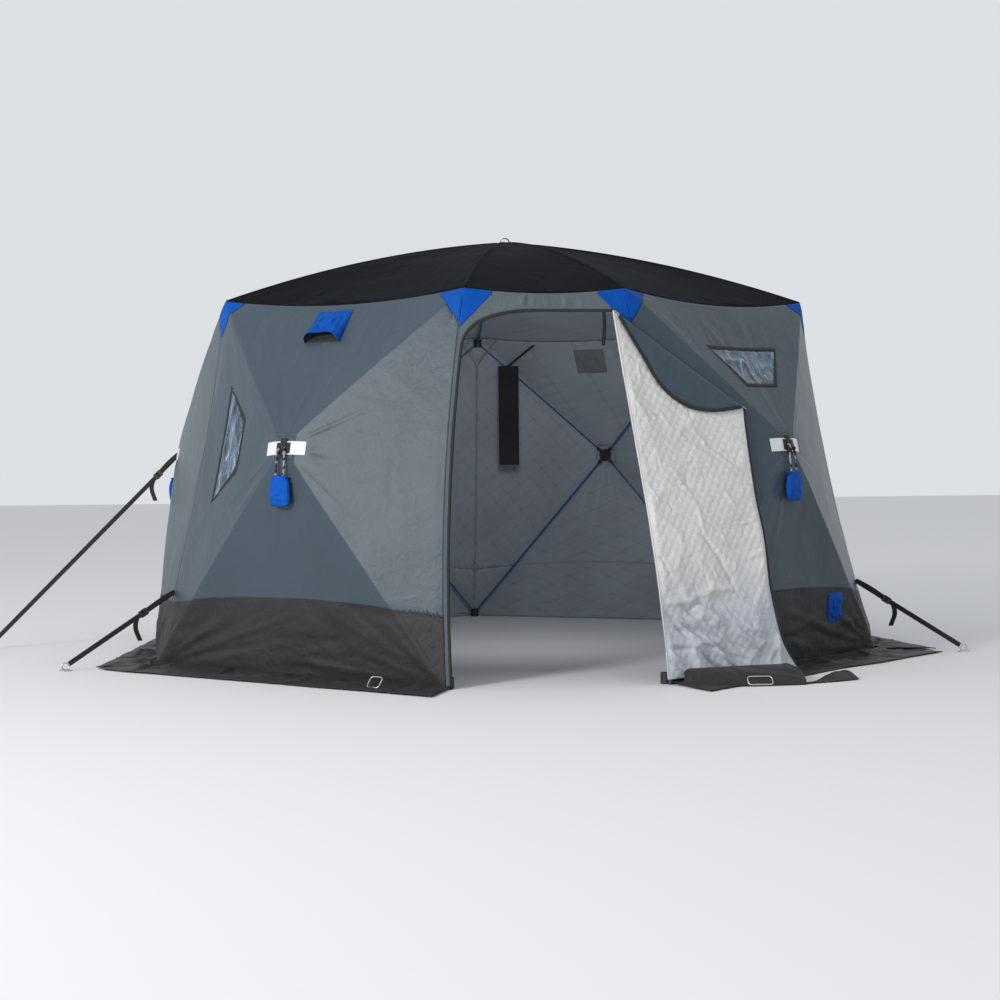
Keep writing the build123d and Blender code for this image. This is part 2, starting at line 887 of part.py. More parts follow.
# Vents and hose port
def make_hoods():
    """A sloping hood over each vent, closed at its cheeks and open at its lower end."""
    hoods = []
    for name in vent_walls:
        wall = WALL[name]
        top = wall.point_above_hub(rim_height - hood_eave_gap)
        down = (wall.point_above_hub(top.Z - hood_length) - top).normalized()
        out = wall.along.cross(down * -1).normalized()
        wedge = hood_wedge(wall, top, down, out, hood_length, hood_mouth, hood_width)
        hollow_top = top + down * hood_top_seam
        inner_width = hood_width - hood_cloth * 2
        hollow = hood_wedge(wall, hollow_top, down, out, hood_length, hood_mouth, inner_width)
        hoods.append((wall.skin(0, hood_bulge) & wedge) - hollow)
    keep("vent_hoods", hoods)


def hood_wedge(wall, top, down, out, length, mouth, width):
    corner = top - wall.along * (width / 2)
    outline = [corner - out * mouth, corner, corner + down * length + out * mouth]
    outline.append(corner + down * length - out * mouth)
    return prism(outline, wall.along * width)


def make_port():
    """The hose port on the band, square above and rounded below."""
    wall = WALL[port_wall]
    foot = middle(wall.corners[2], wall.corners[3])
    origin = foot + wall.along * port_along + UP * port_centre_height - wall.outward * cut_reach
    plane = Plane(origin=origin, x_dir=wall.along, z_dir=wall.outward)
    outline = plane * RectangleRounded(port_width, port_height, port_corner)
    keep("hose_port", [wall.skin(0, port_thickness) & extrude(outline, cut_reach * 2)])


# Door flap
def slab(top, under):
    """A closed solid between two open grids that face each other."""
    strips = [
        [top[0], under[0]],
        [top[-1], under[-1]],
        [[row[0] for row in top], [row[0] for row in under]],
        [[row[-1] for row in top], [row[-1] for row in under]],
    ]
    return sheet([top], [under], strips)


def flap_plane():
    """The front face of the open flap, which rests on the corner seam and on a ridge."""
    wall = WALL["front_right"]
    share = share_at_height(lambda place: wall.ridge_point(3, place), flap_ridge_height)
    step = wall.ridge_point(3, share + 0.05) - wall.ridge_point(3, share - 0.05)
    seam = seam_curve(0)
    seam_rest = parabola(seam, share_at_height(lambda place: parabola(seam, place), flap_seam_height))
    front = step.cross(seam_rest - wall.ridge_point(3, share)).normalized()
    if front.Y > 0:
        front = front * -1
    rest = seam_rest + front * (flap_thickness + flap_stand_off)

    def in_plane(x, z):
        depth = (front.X * (x - rest.X) + front.Z * (z - rest.Z)) / front.Y
        return Vector(x, rest.Y - depth, z)

    def hinge_point(height):
        return in_plane(hinge_side(height) - flap_hinge_lap, height)

    hinge = hinge_curve(door_rim_height - header_drop, flap_foot_height, hinge_point)
    fold_end = in_plane(*flap_fold_end)
    plane = Plane(origin=hinge[0], x_dir=fold_end - hinge[0], z_dir=front)
    low_points = [in_plane(*point) for point in hem_line + [flap_free_foot]]
    return plane, hinge, (fold_end - hinge[0]).length, low_points


def flat_piece(plane, edges, low, high):
    """A flat sheet in the flap's plane, between two heights above its front face."""
    outline = plane.from_local_coords(Wire(edges)).moved(Location(plane.z_dir * low))
    return Solid.extrude(Face(outline), plane.z_dir * (high - low))


def make_flap():
    """The quilted flap, tied back over the next wall with its upper edge folded down."""
    plane, hinge, fold_length, low_points = flap_plane()
    *hem_ends, free_foot = low_points
    local_hinge = [plane.to_local_coords(point) for point in hinge]
    inset = Vector(flap_zipper_width, 0, 0)
    raised = Vector(0, flap_zipper_width, 0)
    corner = Vector(fold_length, 0, 0)
    free = [corner] + [Vector(*point) for point in flap_free_edge]
    free.append(plane.to_local_coords(free_foot))
    inner = [point - inset for point in free]
    ear = [Vector(*point) for point in ear_curve]
    ear_inner = [point + raised for point in ear]
    body = [straight(local_hinge[0], inner[0]), spline(inner), straight(inner[-1], local_hinge[-1])]
    body.append(Edge.make_bezier(*local_hinge[::-1]))
    edge = [straight(inner[0], free[0]), spline(free), straight(free[-1], inner[-1]), spline(inner[::-1])]
    near = Vector(flap_fold_inset, 0, 0)
    far = Vector(fold_length - flap_fold_inset, 0, 0)
    folded = [straight(near, far), straight(far, ear_inner[-1]), spline(ear_inner[::-1])]
    folded.append(straight(ear_inner[0], near))
    ear_edge = [spline(ear_inner), straight(ear_inner[-1], ear[-1]), spline(ear[::-1])]
    ear_edge.append(straight(ear[0], ear_inner[0]))
    flap = flat_piece(plane, body, -flap_thickness, 0)
    flap = flap + flat_piece(plane, folded, 0, ear_thickness) + flap_return(hinge)
    keep("door_flap", [flap])
    zippers = [flat_piece(plane, edge, -flap_thickness, 0), flat_piece(plane, ear_edge, 0, ear_thickness)]
    keep("flap_zipper", zippers)
    make_hem(hem_grid(plane, hem_ends), plane)


def flap_return(hinge):
    """The strip that brings the flap forward from the hinge side of the doorway."""
    def jamb_point(height):
        return Vector(hinge_side(height), door_face(height) - flap_stand_off, height)

    jamb = hinge_curve(hinge[0].Z, hinge[-1].Z, jamb_point)
    rows = [[front, back] for front, back in zip(hinge, jamb)]
    thick = Vector(fabric, 0, 0)
    behind = [[point + thick for point in row] for row in rows]
    return slab(rows, behind)


def hem_grid(plane, ends):
    """Outer face of the hem: its line on the flap, its bulge and its line on the snow."""
    left, right = [point + plane.z_dir * flap_stand_off for point in ends]
    bulge = [Vector(*point) for point in hem_bulge]
    front = [Vector(*point) for point in hem_front]
    return [[left, middle(left, right), right], bulge, front]


def make_hem(rows, plane):
    """The black hem before the flap's foot, rolled down on the snow, with its loose tongue,
    and the link that lies against it."""
    back = Vector(0, hem_thickness, 0)
    under = [
        [point - plane.y_dir * hem_thickness for point in rows[0]],
        [point + back - UP * hem_thickness for point in rows[1]],
        [point + back for point in rows[2]],
    ]
    hem = slab(rows, under) + tongue()
    keep("door_flap_hem", [hem - skirt_outline_prism(0, fabric + flap_stand_off)])
    along = parabola([heading(row, hem_link_share) for row in rows], hem_link_out).normalized()
    down = heading([parabola(row, hem_link_share) for row in rows], hem_link_out)
    out = down.cross(along).normalized()
    if out.Y > 0:
        out = out * -1
    seat = grid_point(rows, hem_link_out, hem_link_share)
    centre = seat + out * (hook_wire_radius - hem_link_press)
    hem_link = steel_link(Plane(origin=centre, x_dir=along, z_dir=out), hem_link_length, hem_link_width)
    keep("steel_links", [hem_link, skirt_link()])


def tongue():
    """A loose tongue of the hem, flat on the snow, wider and round at its end."""
    start = Vector(*tongue_root)
    tip = Vector(*tongue_end)
    along = (tip - start).normalized()
    root = UP.cross(along) * (tongue_root_width / 2)
    across = UP.cross(along) * (tongue_width / 2)
    end = tip - along * (tongue_width / 2)
    edges = [
        straight(start - root, end - across),
        Edge.make_three_point_arc(end - across, tip, end + across),
        straight(end + across, start + root),
        straight(start + root, start - root),
    ]
    return Solid.extrude(Face(Wire(edges)), UP * tongue_thickness)


# Steel links for the snow pegs
def steel_link(plane, length, width):
    """A flat rectangular link of bent wire, with round corners."""
    path = (plane * RectangleRounded(length, width, hook_corner_radius)).face().outer_wire()
    profile = Plane(origin=path.position_at(0), z_dir=path.tangent_at(0))
    return Solid.sweep(Face(Wire.make_circle(hook_wire_radius, profile)), path)


def skirt_link():
    """The link at the edge of the skirt, which leans outwards from the wall."""
    wall = WALL["front_left"]
    lean = math.radians(skirt_link_lean)
    foot = FOOT[wide_walls] - wall.along * skirt_link_along + wall.outward * skirt_link_out
    foot = foot + UP * (fabric + flap_stand_off + hook_wire_radius)
    rise = UP * math.sin(lean) - wall.outward * math.cos(lean)
    centre = foot + rise * (skirt_link_width / 2)
    plane = Plane(origin=centre, x_dir=wall.along, z_dir=wall.along.cross(rise))
    return steel_link(plane, skirt_link_length, skirt_link_width)


# What hangs inside at the rear
def make_panel():
    """A flat panel below the rear eave, on a slanting strap."""
    centre = Vector(panel_side, panel_back, panel_top - panel_height / 2)
    panel = Pos(*centre) * Box(panel_width, panel_thickness, panel_height)
    keep("hanging_panel", [panel])
    wall = WALL["rear_right"]
    start = wall.facet_point(0, panel_strap_out, panel_strap_across)
    start = start - wall.normal * (fabric + webbing_thickness * 2)
    end = Vector(panel_side, panel_back, panel_top + socket_wall_gap)
    keep("panel_strap", [flat_strap(end, start, wall.along)])


def export_nodes():
    """Write every piece, with the origin below the middle of the whole hut."""
    everything = Compound([solid for solids in nodes.values() for solid in solids])
    box = everything.bounding_box()
    shift = Pos(-(box.min.X + box.max.X) / 2, -(box.min.Y + box.max.Y) / 2, -box.min.Z)
    print("Hut axis in the frame, mm:", round(shift.position.X, 2), round(shift.position.Y, 2))
    for name, solids in nodes.items():
        moved = [shift * solid for solid in solids]
        shape = moved[0] if len(moved) == 1 else Compound(moved)
        shape.label = name
        export_step(shape, os.path.join("parts", name + ".step"))


def main():
    kites = [patch_prism(index) for index in range(wide_walls + 1)]
    patches = make_walls(kites)
    make_door_wall(kites, patches)
    keep("corner_patches", [pieces[0] + pieces[1] for pieces in patches])
    make_roof()
    make_frame()
    make_skirt()
    make_hub_dress()
    make_stays()
    make_hoods()
    make_port()
    make_flap()
    make_panel()
    export_nodes()


main()
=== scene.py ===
import math

import bmesh
import bpy
import numpy as np
from mathutils import Matrix, Vector
from mathutils.bvhtree import BVHTree


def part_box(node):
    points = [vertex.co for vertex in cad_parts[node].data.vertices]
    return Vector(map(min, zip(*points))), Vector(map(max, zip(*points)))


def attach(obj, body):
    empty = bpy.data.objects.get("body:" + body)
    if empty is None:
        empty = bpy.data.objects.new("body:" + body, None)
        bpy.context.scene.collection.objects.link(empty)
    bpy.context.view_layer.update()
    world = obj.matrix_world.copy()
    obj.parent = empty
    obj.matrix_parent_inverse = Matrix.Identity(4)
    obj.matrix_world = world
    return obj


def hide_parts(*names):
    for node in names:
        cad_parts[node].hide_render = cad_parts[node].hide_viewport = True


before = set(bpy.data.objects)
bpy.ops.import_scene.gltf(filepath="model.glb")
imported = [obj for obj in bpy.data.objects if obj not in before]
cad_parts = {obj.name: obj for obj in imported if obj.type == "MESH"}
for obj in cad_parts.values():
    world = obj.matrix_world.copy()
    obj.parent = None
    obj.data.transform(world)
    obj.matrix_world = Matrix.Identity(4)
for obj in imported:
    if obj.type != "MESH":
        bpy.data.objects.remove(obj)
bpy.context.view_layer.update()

# Driving sizes of the hut, in metres, the same as in the CAD model
RIM_RADIUS = 1.62
FOOT_RADIUS = 2.0
DOOR_RIM = 0.75
DOOR_FOOT = 1.005
RIM_HEIGHT = 1.85
DOOR_RIM_HEIGHT = 1.81
APEX = 2.235
EAVE_SAG = 0.05
SEAM_BOW = 0.04
DOOR_BOW = 0.045
ROOF_BOW = 0.05
ROOF_DIP = 0.025
RIDGE_BOW = 0.012
FACET_DIP = 0.022
CROWN = 0.06
BAND = 0.345
HUB_HEIGHT = 1.08
HUB_REACH = 0.255
PAD = 0.11
LEFT_JAMB = 0.028
RIGHT_JAMB = 0.079
RIGHT_JAMB_FOOT = 0.009
JAMB_TAPER = 1.16
HEADER_DROP = 0.113
ARCH_WIDTH = 0.34
ARCH_DROP = 0.165
ARCH_PULL_IN = 0.024
ARCH_PULL_DOWN = 0.01
ZIP_WIDTH = 0.014
DOOR_TOP = DOOR_RIM_HEIGHT - HEADER_DROP
HOOD_EAVE_GAP = 0.1
HOOD_LENGTH = 0.19
HOOD_MOUTH = 0.055
HOOD_WIDTH = 0.215
STRIP_LENGTH = 0.24
STRIP_HEIGHT = 0.064
STRIP_THICK = 0.0025
POUCH_DROP = 0.2
CLOTH_THICK = 0.004
ROOF_THICK = 0.005
BORDER_THICK = 0.005
VINYL_THICK = 0.0015
QUILT_THICK = 0.007
SHELL_THICK = 0.003
SKIRT_THICK = 0.0035
TAPE_THICK = 0.002
FAR = 9.0
WALL_NAMES = ["front_right", "right", "rear_right", "rear_left", "left", "front_left"]
CORNERS = 7

crown_low, crown_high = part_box("roof_cap")
AXIS = np.array([(crown_low[0] + crown_high[0]) / 2, (crown_low[1] + crown_high[1]) / 2, 0.0])
UP = np.array([0.0, 0.0, 1.0])


# Vectors and noise
def unit(vector):
    return vector / np.linalg.norm(vector)


def unit_rows(rows):
    return rows / np.linalg.norm(rows, axis=1)[:, None]


def level(vector):
    return unit(np.array([vector[0], vector[1], 0.0]))


def smooth(value, low, high):
    share = np.clip((value - low) / (high - low), 0.0, 1.0)
    return share * share * (3 - 2 * share)


def bump(value, middle, width):
    """A rounded rise of height 1 around a middle."""
    return np.exp(-(((value - middle) / width) ** 2))


def noise(u, v, size, seed):
    """Smooth noise from -1 to 1 with cells of the given size."""
    table = np.random.default_rng(seed).uniform(-1, 1, (64, 64))
    x = u / size + 17.3
    y = v / size + 5.7
    i = np.floor(x).astype(int)
    j = np.floor(y).astype(int)
    a = x - i
    b = y - j
    a = a * a * (3 - 2 * a)
    b = b * b * (3 - 2 * b)
    near = table[i % 64, j % 64] * (1 - a) + table[(i + 1) % 64, j % 64] * a
    far = table[i % 64, (j + 1) % 64] * (1 - a) + table[(i + 1) % 64, (j + 1) % 64] * a
    return near * (1 - b) + far * b


def crumple(u, v, size, seed):
    """Creased noise from 0 to 1 with sharp crests, as in stiff cloth."""
    bend = noise(u, v, size * 1.7, seed + 1) * size * 0.6
    crest = 1 - np.abs(noise(u + bend, v - bend, size, seed))
    return crest ** 3


def creases(u, v, lines):
    """Height of folds along straight lines: (u0, v0, u1, v1, half width, height)."""
    total = np.zeros_like(u)
    for u0, v0, u1, v1, width, height in lines:
        du, dv = u1 - u0, v1 - v0
        size = du * du + dv * dv
        t = np.clip(((u - u0) * du + (v - v0) * dv) / size, 0, 1)
        side = ((u - u0) * dv - (v - v0) * du) / math.sqrt(size)
        gap = np.hypot(u - u0 - t * du, v - v0 - t * dv) / width
        taper = np.sin(math.pi * np.clip(t, 0.04, 0.96)) ** 0.7
        lean = 1 + 0.7 * np.clip(side / width, -1, 1)
        total += height * taper * lean * np.exp(-gap * gap)
    return total


def ray(x, y, reach, turn, width, height):
    """A fold that runs from a place as far as its reach, at an angle."""
    return (x, y, x + reach * math.cos(turn), y + reach * math.sin(turn), width, height)


# Plan and curved edges
def plan_angles(radius, door):
    """Directions of the seven corners, with the door's short side in front."""
    half = math.asin(door / 2 / radius)
    step = (2 * math.pi - 2 * half) / 6
    return [half + step * k for k in range(CORNERS)]


def plan_point(radius, angle, height):
    return AXIS + np.array([radius * math.sin(angle), -radius * math.cos(angle), height])


def rim_level(index):
    return DOOR_RIM_HEIGHT if index in (0, 6) else RIM_HEIGHT


RIM = [plan_point(RIM_RADIUS, a, rim_level(k)) for k, a in enumerate(plan_angles(RIM_RADIUS, DOOR_RIM))]
FOOT = [plan_point(FOOT_RADIUS, a, 0.0) for a in plan_angles(FOOT_RADIUS, DOOR_FOOT)]


def outward_at(index):
    return level(RIM[index] - AXIS)


def at_height(curve, height):
    """How far along a curve a height is met."""
    t = np.linspace(0, 1, 400)
    points = on_curve(curve, t)
    order = np.argsort(points[:, 2])
    return float(np.interp(height, points[order, 2], t[order]))


def quadratic(start, end, through):
    """A curve from start to end with the place of its middle."""
    return [start, through * 2 - (start + end) / 2, end]


def on_curve(curve, t):
    t = np.asarray(t, float)[..., None]
    return curve[0] * (1 - t) ** 2 + curve[1] * 2 * t * (1 - t) + curve[2] * t * t


def on_patch(rows, s, t):
    """Points of a biquadratic patch: s runs across its rows, t along them."""
    total = 0
    for i, weight_s in enumerate(((1 - s) ** 2, 2 * s * (1 - s), s * s)):
        for j, weight_t in enumerate(((1 - t) ** 2, 2 * t * (1 - t), t * t)):
            total = total + (weight_s * weight_t)[..., None] * rows[i][j]
    return total


def seam_curve(index):
    """The bowed seam between two walls, from the rim down to the foot."""
    straight = (RIM[index] + FOOT[index]) / 2
    if index in (0, 6):
        through = straight + np.array([DOOR_BOW if index == 0 else -DOOR_BOW, 0, 0])
    else:
        through = straight - outward_at(index) * SEAM_BOW
    return quadratic(RIM[index], FOOT[index], through)


def eave_curve(start, end):
    """The sagging edge of the roof between two corners."""
    sag = EAVE_SAG if {start, end} != {0, 6} else EAVE_SAG / 2
    return quadratic(RIM[start], RIM[end], (RIM[start] + RIM[end]) / 2 - UP * sag)


class Wall:
    """A wide wall: four facets that run from the hub's pad to its top, sides and foot."""

    def __init__(self, number):
        start, end = number, number + 1
        self.name = WALL_NAMES[number]
        self.number = number
        self.along = level(RIM[end] - RIM[start])
        self.outward = level(np.cross(self.along, UP))
        top = (RIM[start] + RIM[end]) / 2
        bottom = (FOOT[start] + FOOT[end]) / 2
        self.rise = unit(top - bottom)
        self.normal = unit(np.cross(self.along, self.rise))
        self.hub = bottom + (top - bottom) * (HUB_HEIGHT / top[2]) + self.outward * HUB_REACH
        self.pads = []
        for side, height in ((-1, 1), (1, 1), (1, -1), (-1, -1)):
            self.pads.append(self.hub + (self.along * side + self.rise * height) * PAD / 2)
        self.corners = [RIM[start], RIM[end], FOOT[end], FOOT[start]]
        self.edges = [
            eave_curve(start, end),
            seam_curve(end),
            quadratic(FOOT[end], FOOT[start], (FOOT[end] + FOOT[start]) / 2),
            seam_curve(start)[::-1],
        ]
        self.facets = [self.facet(side) for side in range(4)]

    def facet(self, side):
        """Rows of the patch from the pad to one side, bowed at its ridges and dipped between."""
        after = (side + 1) % 4
        pad_a, pad_b = self.pads[side], self.pads[after]
        ridge_a = (pad_a + self.corners[side]) / 2 + self.normal * RIDGE_BOW * 2
        ridge_b = (pad_b + self.corners[after]) / 2 + self.normal * RIDGE_BOW * 2
        dip = (ridge_a + ridge_b) / 2 - self.normal * FACET_DIP * 2
        return [[pad_a, (pad_a + pad_b) / 2, pad_b], [ridge_a, dip, ridge_b], self.edges[side]]

    def local(self, points):
        """Distances along the wall and up it from its hub."""
        gap = points - self.hub
        return gap @ self.along, gap @ self.rise

    def middle_point(self, side, height):
        """Point at a height on the middle line of the facet above (0) or below (2) the hub."""
        s = np.linspace(0, 1, 400)
        line = on_patch(self.facets[side], s, np.full(400, 0.5))
        order = np.argsort(line[:, 2])
        return np.array([np.interp(height, line[order, 2], line[order, axis]) for axis in range(3)])


WALLS = [Wall(number) for number in range(6)]
WALL = {wall.name: wall for wall in WALLS}


# Meshes
def add_object(name, verts, faces, materials, slot, uses=None):
    """A smooth mesh piece that rides on the hut."""
    mesh = bpy.data.meshes.new(name)
    mesh.from_pydata(verts.tolist(), [], faces)
    for material in materials:
        mesh.materials.append(material)
    if uses is not None:
        mesh.polygons.foreach_set("material_index", uses)
    mesh.polygons.foreach_set("use_smooth", [True] * len(mesh.polygons))
    mesh.update()
    piece = bpy.data.objects.new(name, mesh)
    bpy.context.scene.collection.objects.link(piece)
    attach(piece, "root")
    return piece


def weld(piece, distance=0.0008):
    bm = bmesh.new()
    bm.from_mesh(piece.data)
    bmesh.ops.remove_doubles(bm, verts=bm.verts, dist=distance)
    bm.to_mesh(piece.data)
    bm.free()
    piece.data.polygons.foreach_set("use_smooth", [True] * len(piece.data.polygons))


def face_out(piece, direction):
    """Every face of a nearly flat open sheet looks in one direction."""
    bm = bmesh.new()
    bm.from_mesh(piece.data)
    for face in bm.faces:
        if face.normal.dot(Vector(direction)) < 0:
            face.normal_flip()
    bm.to_mesh(piece.data)
    bm.free()


def thicken(piece, thick):
    """Thickness behind the faces of a sheet, lined with its second material."""
    shell = piece.modifiers.new("thickness", "SOLIDIFY")
    shell.thickness = thick
    shell.offset = -1
    if len(piece.data.materials) > 1:
        shell.material_offset = 1


def add_cloth(name, part, materials, slot, out, thick, seam=None, uses=None):
    """A sheet of cloth that looks out, with its thickness behind; seam is how near points are joined."""
    piece = add_object(name, *part, materials, slot, uses)
    if seam:
        weld(piece, seam)
    face_out(piece, out)
    thicken(piece, thick)
    return piece


def grid_faces(rows, columns, start=0, closed=False):
    faces = []
    for i in range(rows - 1):
        for j in range(columns if closed else columns - 1):
            k = (j + 1) % columns
            base = start + i * columns
            faces.append([base + j, base + k, base + columns + k, base + columns + j])
    return faces


def grid_part(points):
    """Vertices and faces of a grid of points."""
    return points.reshape(-1, 3), grid_faces(*points.shape[:2])


def skin_part(points):
    """Vertices and faces of a closed skin of rings, with a cap at each end."""
    rings, around = points.shape[:2]
    faces = grid_faces(rings, around, closed=True)
    faces.append(list(range(around - 1, -1, -1)))
    faces.append([(rings - 1) * around + k for k in range(around)])
    return points.reshape(-1, 3), faces


def parameter(count_s, count_t):
    return np.meshgrid(np.linspace(0, 1, count_s), np.linspace(0, 1, count_t), indexing="ij")


def cut_along(bm, faces, point, normal):
    """Cut the given faces of a mesh along a plane, and give back what they became."""
    geometry = set(faces)
    for face in faces:
        geometry.update(face.edges)
        geometry.update(face.verts)
    made = bmesh.ops.bisect_plane(bm, geom=list(geometry), dist=1e-6, plane_co=point, plane_no=normal)
    return [item for item in made["geom"] if isinstance(item, bmesh.types.BMFace)]


def joined(parts):
    """Several parts as one set of vertices and faces."""
    verts = np.concatenate([part[0] for part in parts])
    faces = []
    start = 0
    for part_verts, part_faces in parts:
        faces.extend([[k + start for k in face] for face in part_faces])
        start += len(part_verts)
    return verts, faces


def between(first, second, count):
    """A grid of points from one line across to another."""
    share = np.linspace(0, 1, count)[:, None, None]
    return first[None] * (1 - share) + second[None] * share


def centre_array(bm):
    return np.array([face.calc_center_median()[:] for face in bm.faces])


def pick(bm, chosen):
    """Vertices and faces of the chosen faces of a mesh."""
    places = {}
    verts = []
    faces = []
    for face, use in zip(bm.faces, chosen):
        if not use:
            continue
        row = []
        for vert in face.verts:
            if vert.index not in places:
                places[vert.index] = len(verts)
                verts.append(vert.co[:])
            row.append(places[vert.index])
        faces.append(row)
    return np.array(verts), faces


# Materials
def shader(name, roughness=0.8, sheen=0.0, metallic=0.0, specular=0.3):
    material = bpy.data.materials.new(name)
    material.use_nodes = True
    body = material.node_tree.nodes["Principled BSDF"]
    body.inputs["Roughness"].default_value = roughness
    body.inputs["Sheen Weight"].default_value = sheen
    body.inputs["Metallic"].default_value = metallic
    body.inputs["Specular IOR Level"].default_value = specular
    return material, body


def node(material, kind, **inputs):
    made = material.node_tree.nodes.new(kind)
    for key, value in inputs.items():
        made.inputs[key.replace("_", " ")].default_value = value
    return made


def link(material, source, target):
    material.node_tree.links.new(source, target)


def place_node(material):
    return node(material, "ShaderNodeTexCoord").outputs["Object"]


def noise_node(material, size, detail=3.0, distortion=0.0):
    made = node(material, "ShaderNodeTexNoise", Scale=1 / size, Detail=detail, Distortion=distortion)
    link(material, place_node(material), made.inputs["Vector"])
    return made.outputs["Fac"]


def ramp_node(material, source, stops):
    made = node(material, "ShaderNodeValToRGB")
    ramp = made.color_ramp
    while len(ramp.elements) < len(stops):
        ramp.elements.new(0.5)
    for element, (place, colour) in zip(ramp.elements, stops):
        element.position = place
        element.color = (*colour, 1)
    link(material, source, made.inputs["Fac"])
    return made.outputs["Color"]


def mix_node(material, first, second, share, kind="MIX"):
    made = node(material, "ShaderNodeMix")
    made.data_type = "RGBA"
    made.blend_type = kind
    for socket, value in ((made.inputs[0], share), (made.inputs[6], first), (made.inputs[7], second)):
        if isinstance(value, bpy.types.NodeSocket):
            link(material, value, socket)
        else:
            socket.default_value = value if socket.name == "Factor" else (*value, 1)
    return made.outputs[2]


def math_node(material, kind, *values):
    made = node(material, "ShaderNodeMath")
    made.operation = kind
    for socket, value in zip(made.inputs, values):
        if isinstance(value, bpy.types.NodeSocket):
            link(material, value, socket)
        else:
            socket.default_value = value
    return made.outputs[0]


def grey_stops(*stops):
    """Stops of a ramp of greys: (place, level) each."""
    return [(place, (tone,) * 3) for place, tone in stops]


def wave_node(material, direction, pitch, distortion):
    """Waves of a pitch along one axis."""
    made = node(material, "ShaderNodeTexWave", Scale=math.pi / 10 / pitch, Distortion=distortion)
    made.bands_direction = direction
    link(material, place_node(material), made.inputs["Vector"])
    return made.outputs["Fac"]


def split_node(material):
    split = node(material, "ShaderNodeSeparateXYZ")
    link(material, place_node(material), split.inputs[0])
    return split.outputs


def bump_nodes(material, body, *heights):
    """Bumps laid over each other: (height, strength, distance) each."""
    last = None
    for height, strength, distance in heights:
        made = node(material, "ShaderNodeBump", Strength=strength, Distance=distance)
        link(material, height, made.inputs["Height"])
        if last:
            link(material, last, made.inputs["Normal"])
        last = made.outputs["Normal"]
    link(material, last, body.inputs["Normal"])


def weave_height(material, pitch):
    """Threads that cross at right angles, a pitch apart."""
    heights = [wave_node(material, direction, pitch, 0.6) for direction in ("X", "Z")]
    return math_node(material, "MAXIMUM", *heights)


def cloth_material(name, colour, pitch=0.0012, sheen=0.15, roughness=0.8, vary=0.18, crinkle=0.3,
                   specular=0.25, low_painted_shade=None):
    """Woven coated cloth: threads, soft tone changes, small crinkles, and below a height a painted bluish
    shade.
    """
    material, body = shader(name, roughness, sheen, specular=specular)
    dark = [c * (1 - vary) for c in colour]
    light = [min(1.0, c * (1 + vary)) for c in colour]
    tone = ramp_node(material, noise_node(material, 0.45, 4.0, 0.4), [(0.3, dark), (0.7, light)])
    speck = ramp_node(material, noise_node(material, 0.004, 2.0), grey_stops((0.35, 0.86), (0.65, 1.0)))
    # Below the given height the colour gives way to a painted bluish shade tone, with a ragged edge.
    if low_painted_shade:
        shade_tone, height = low_painted_shade
        edge = math_node(material, "MULTIPLY", noise_node(material, 0.25, 3.0), 0.35)
        share = math_node(material, "ADD", split_node(material)[2], edge)
        low = ramp_node(material, share, grey_stops((height, 1.0), (height + 0.3, 0.0)))
        tone = mix_node(material, tone, shade_tone, low)
    link(material, mix_node(material, tone, speck, 1.0, "MULTIPLY"), body.inputs["Base Color"])
    bump_nodes(
        material,
        body,
        (noise_node(material, 0.07, 4.0, 1.2), crinkle, 0.012),
        (noise_node(material, 0.018, 3.0, 0.8), crinkle * 0.6, 0.003),
        (weave_height(material, pitch), 0.25, 0.0004),
    )
    return material


def quilt_material(name, colour, pitch, sheen=0.1, shine=0.5, metallic=0.0):
    """Padded lining, stitched in diamonds."""
    material, body = shader(name, shine, sheen, metallic, 0.4)
    x, y, z = split_node(material)
    across = math_node(material, "ADD", x, y)
    waves = []
    for kind in ("ADD", "SUBTRACT"):
        turn = math_node(material, "MULTIPLY", math_node(material, kind, across, z), math.pi / pitch)
        waves.append(math_node(material, "ABSOLUTE", math_node(material, "SINE", turn)))
    puff = math_node(material, "POWER", math_node(material, "MULTIPLY", *waves), 0.4)
    stitched = ramp_node(material, puff, [(0.1, [c * 0.86 for c in colour]), (0.45, colour)])
    tone = ramp_node(material, noise_node(material, 0.3, 4.0, 0.5), grey_stops((0.3, 0.85), (0.7, 1.0)))
    link(material, mix_node(material, stitched, tone, 1.0, "MULTIPLY"), body.inputs["Base Color"])
    bump_nodes(
        material,
        body,
        (puff, 0.35, 0.003),
        (noise_node(material, 0.05, 4.0, 1.0), 0.35, 0.008),
    )
    return material


GREY = cloth_material("grey_shell", (0.055, 0.078, 0.102), sheen=0.0, roughness=0.33, vary=0.06,
                      crinkle=0.2, specular=0.25)
# The door wall is the same grey fabric, painted lighter for the light it catches.
HEADER_GREY_PAINTED_LIGHT = cloth_material("grey_header_painted_light", (0.105, 0.13, 0.15), sheen=0.0, roughness=0.5, vary=0.06,
                             crinkle=0.4)
BLACK = cloth_material("black_shell", (0.022, 0.022, 0.023), sheen=0.05, roughness=0.75, vary=0.2,
                       crinkle=0.5)
BAND_BLACK = cloth_material("black_band", (0.03, 0.029, 0.029), sheen=0.02, roughness=0.55, vary=0.15,
                            crinkle=0.5)
ROOF_BLACK = cloth_material("black_roof", (0.0055, 0.0065, 0.009), sheen=0.0, roughness=0.8, vary=0.2,
                            crinkle=0.25, specular=0.06)
BLUE = cloth_material("blue_cloth", (0.0, 0.078, 0.4), sheen=0.0, roughness=0.6, vary=0.15,
                      crinkle=0.5, specular=0.12)
# The quilted lining is the same layer as the flap's silver face, coloured darker and bluer as painted shade
# of the hut's inside.
SHADED_LINING = quilt_material("grey_lining_painted_shade", (0.33, 0.37, 0.415), 0.11, shine=0.55)
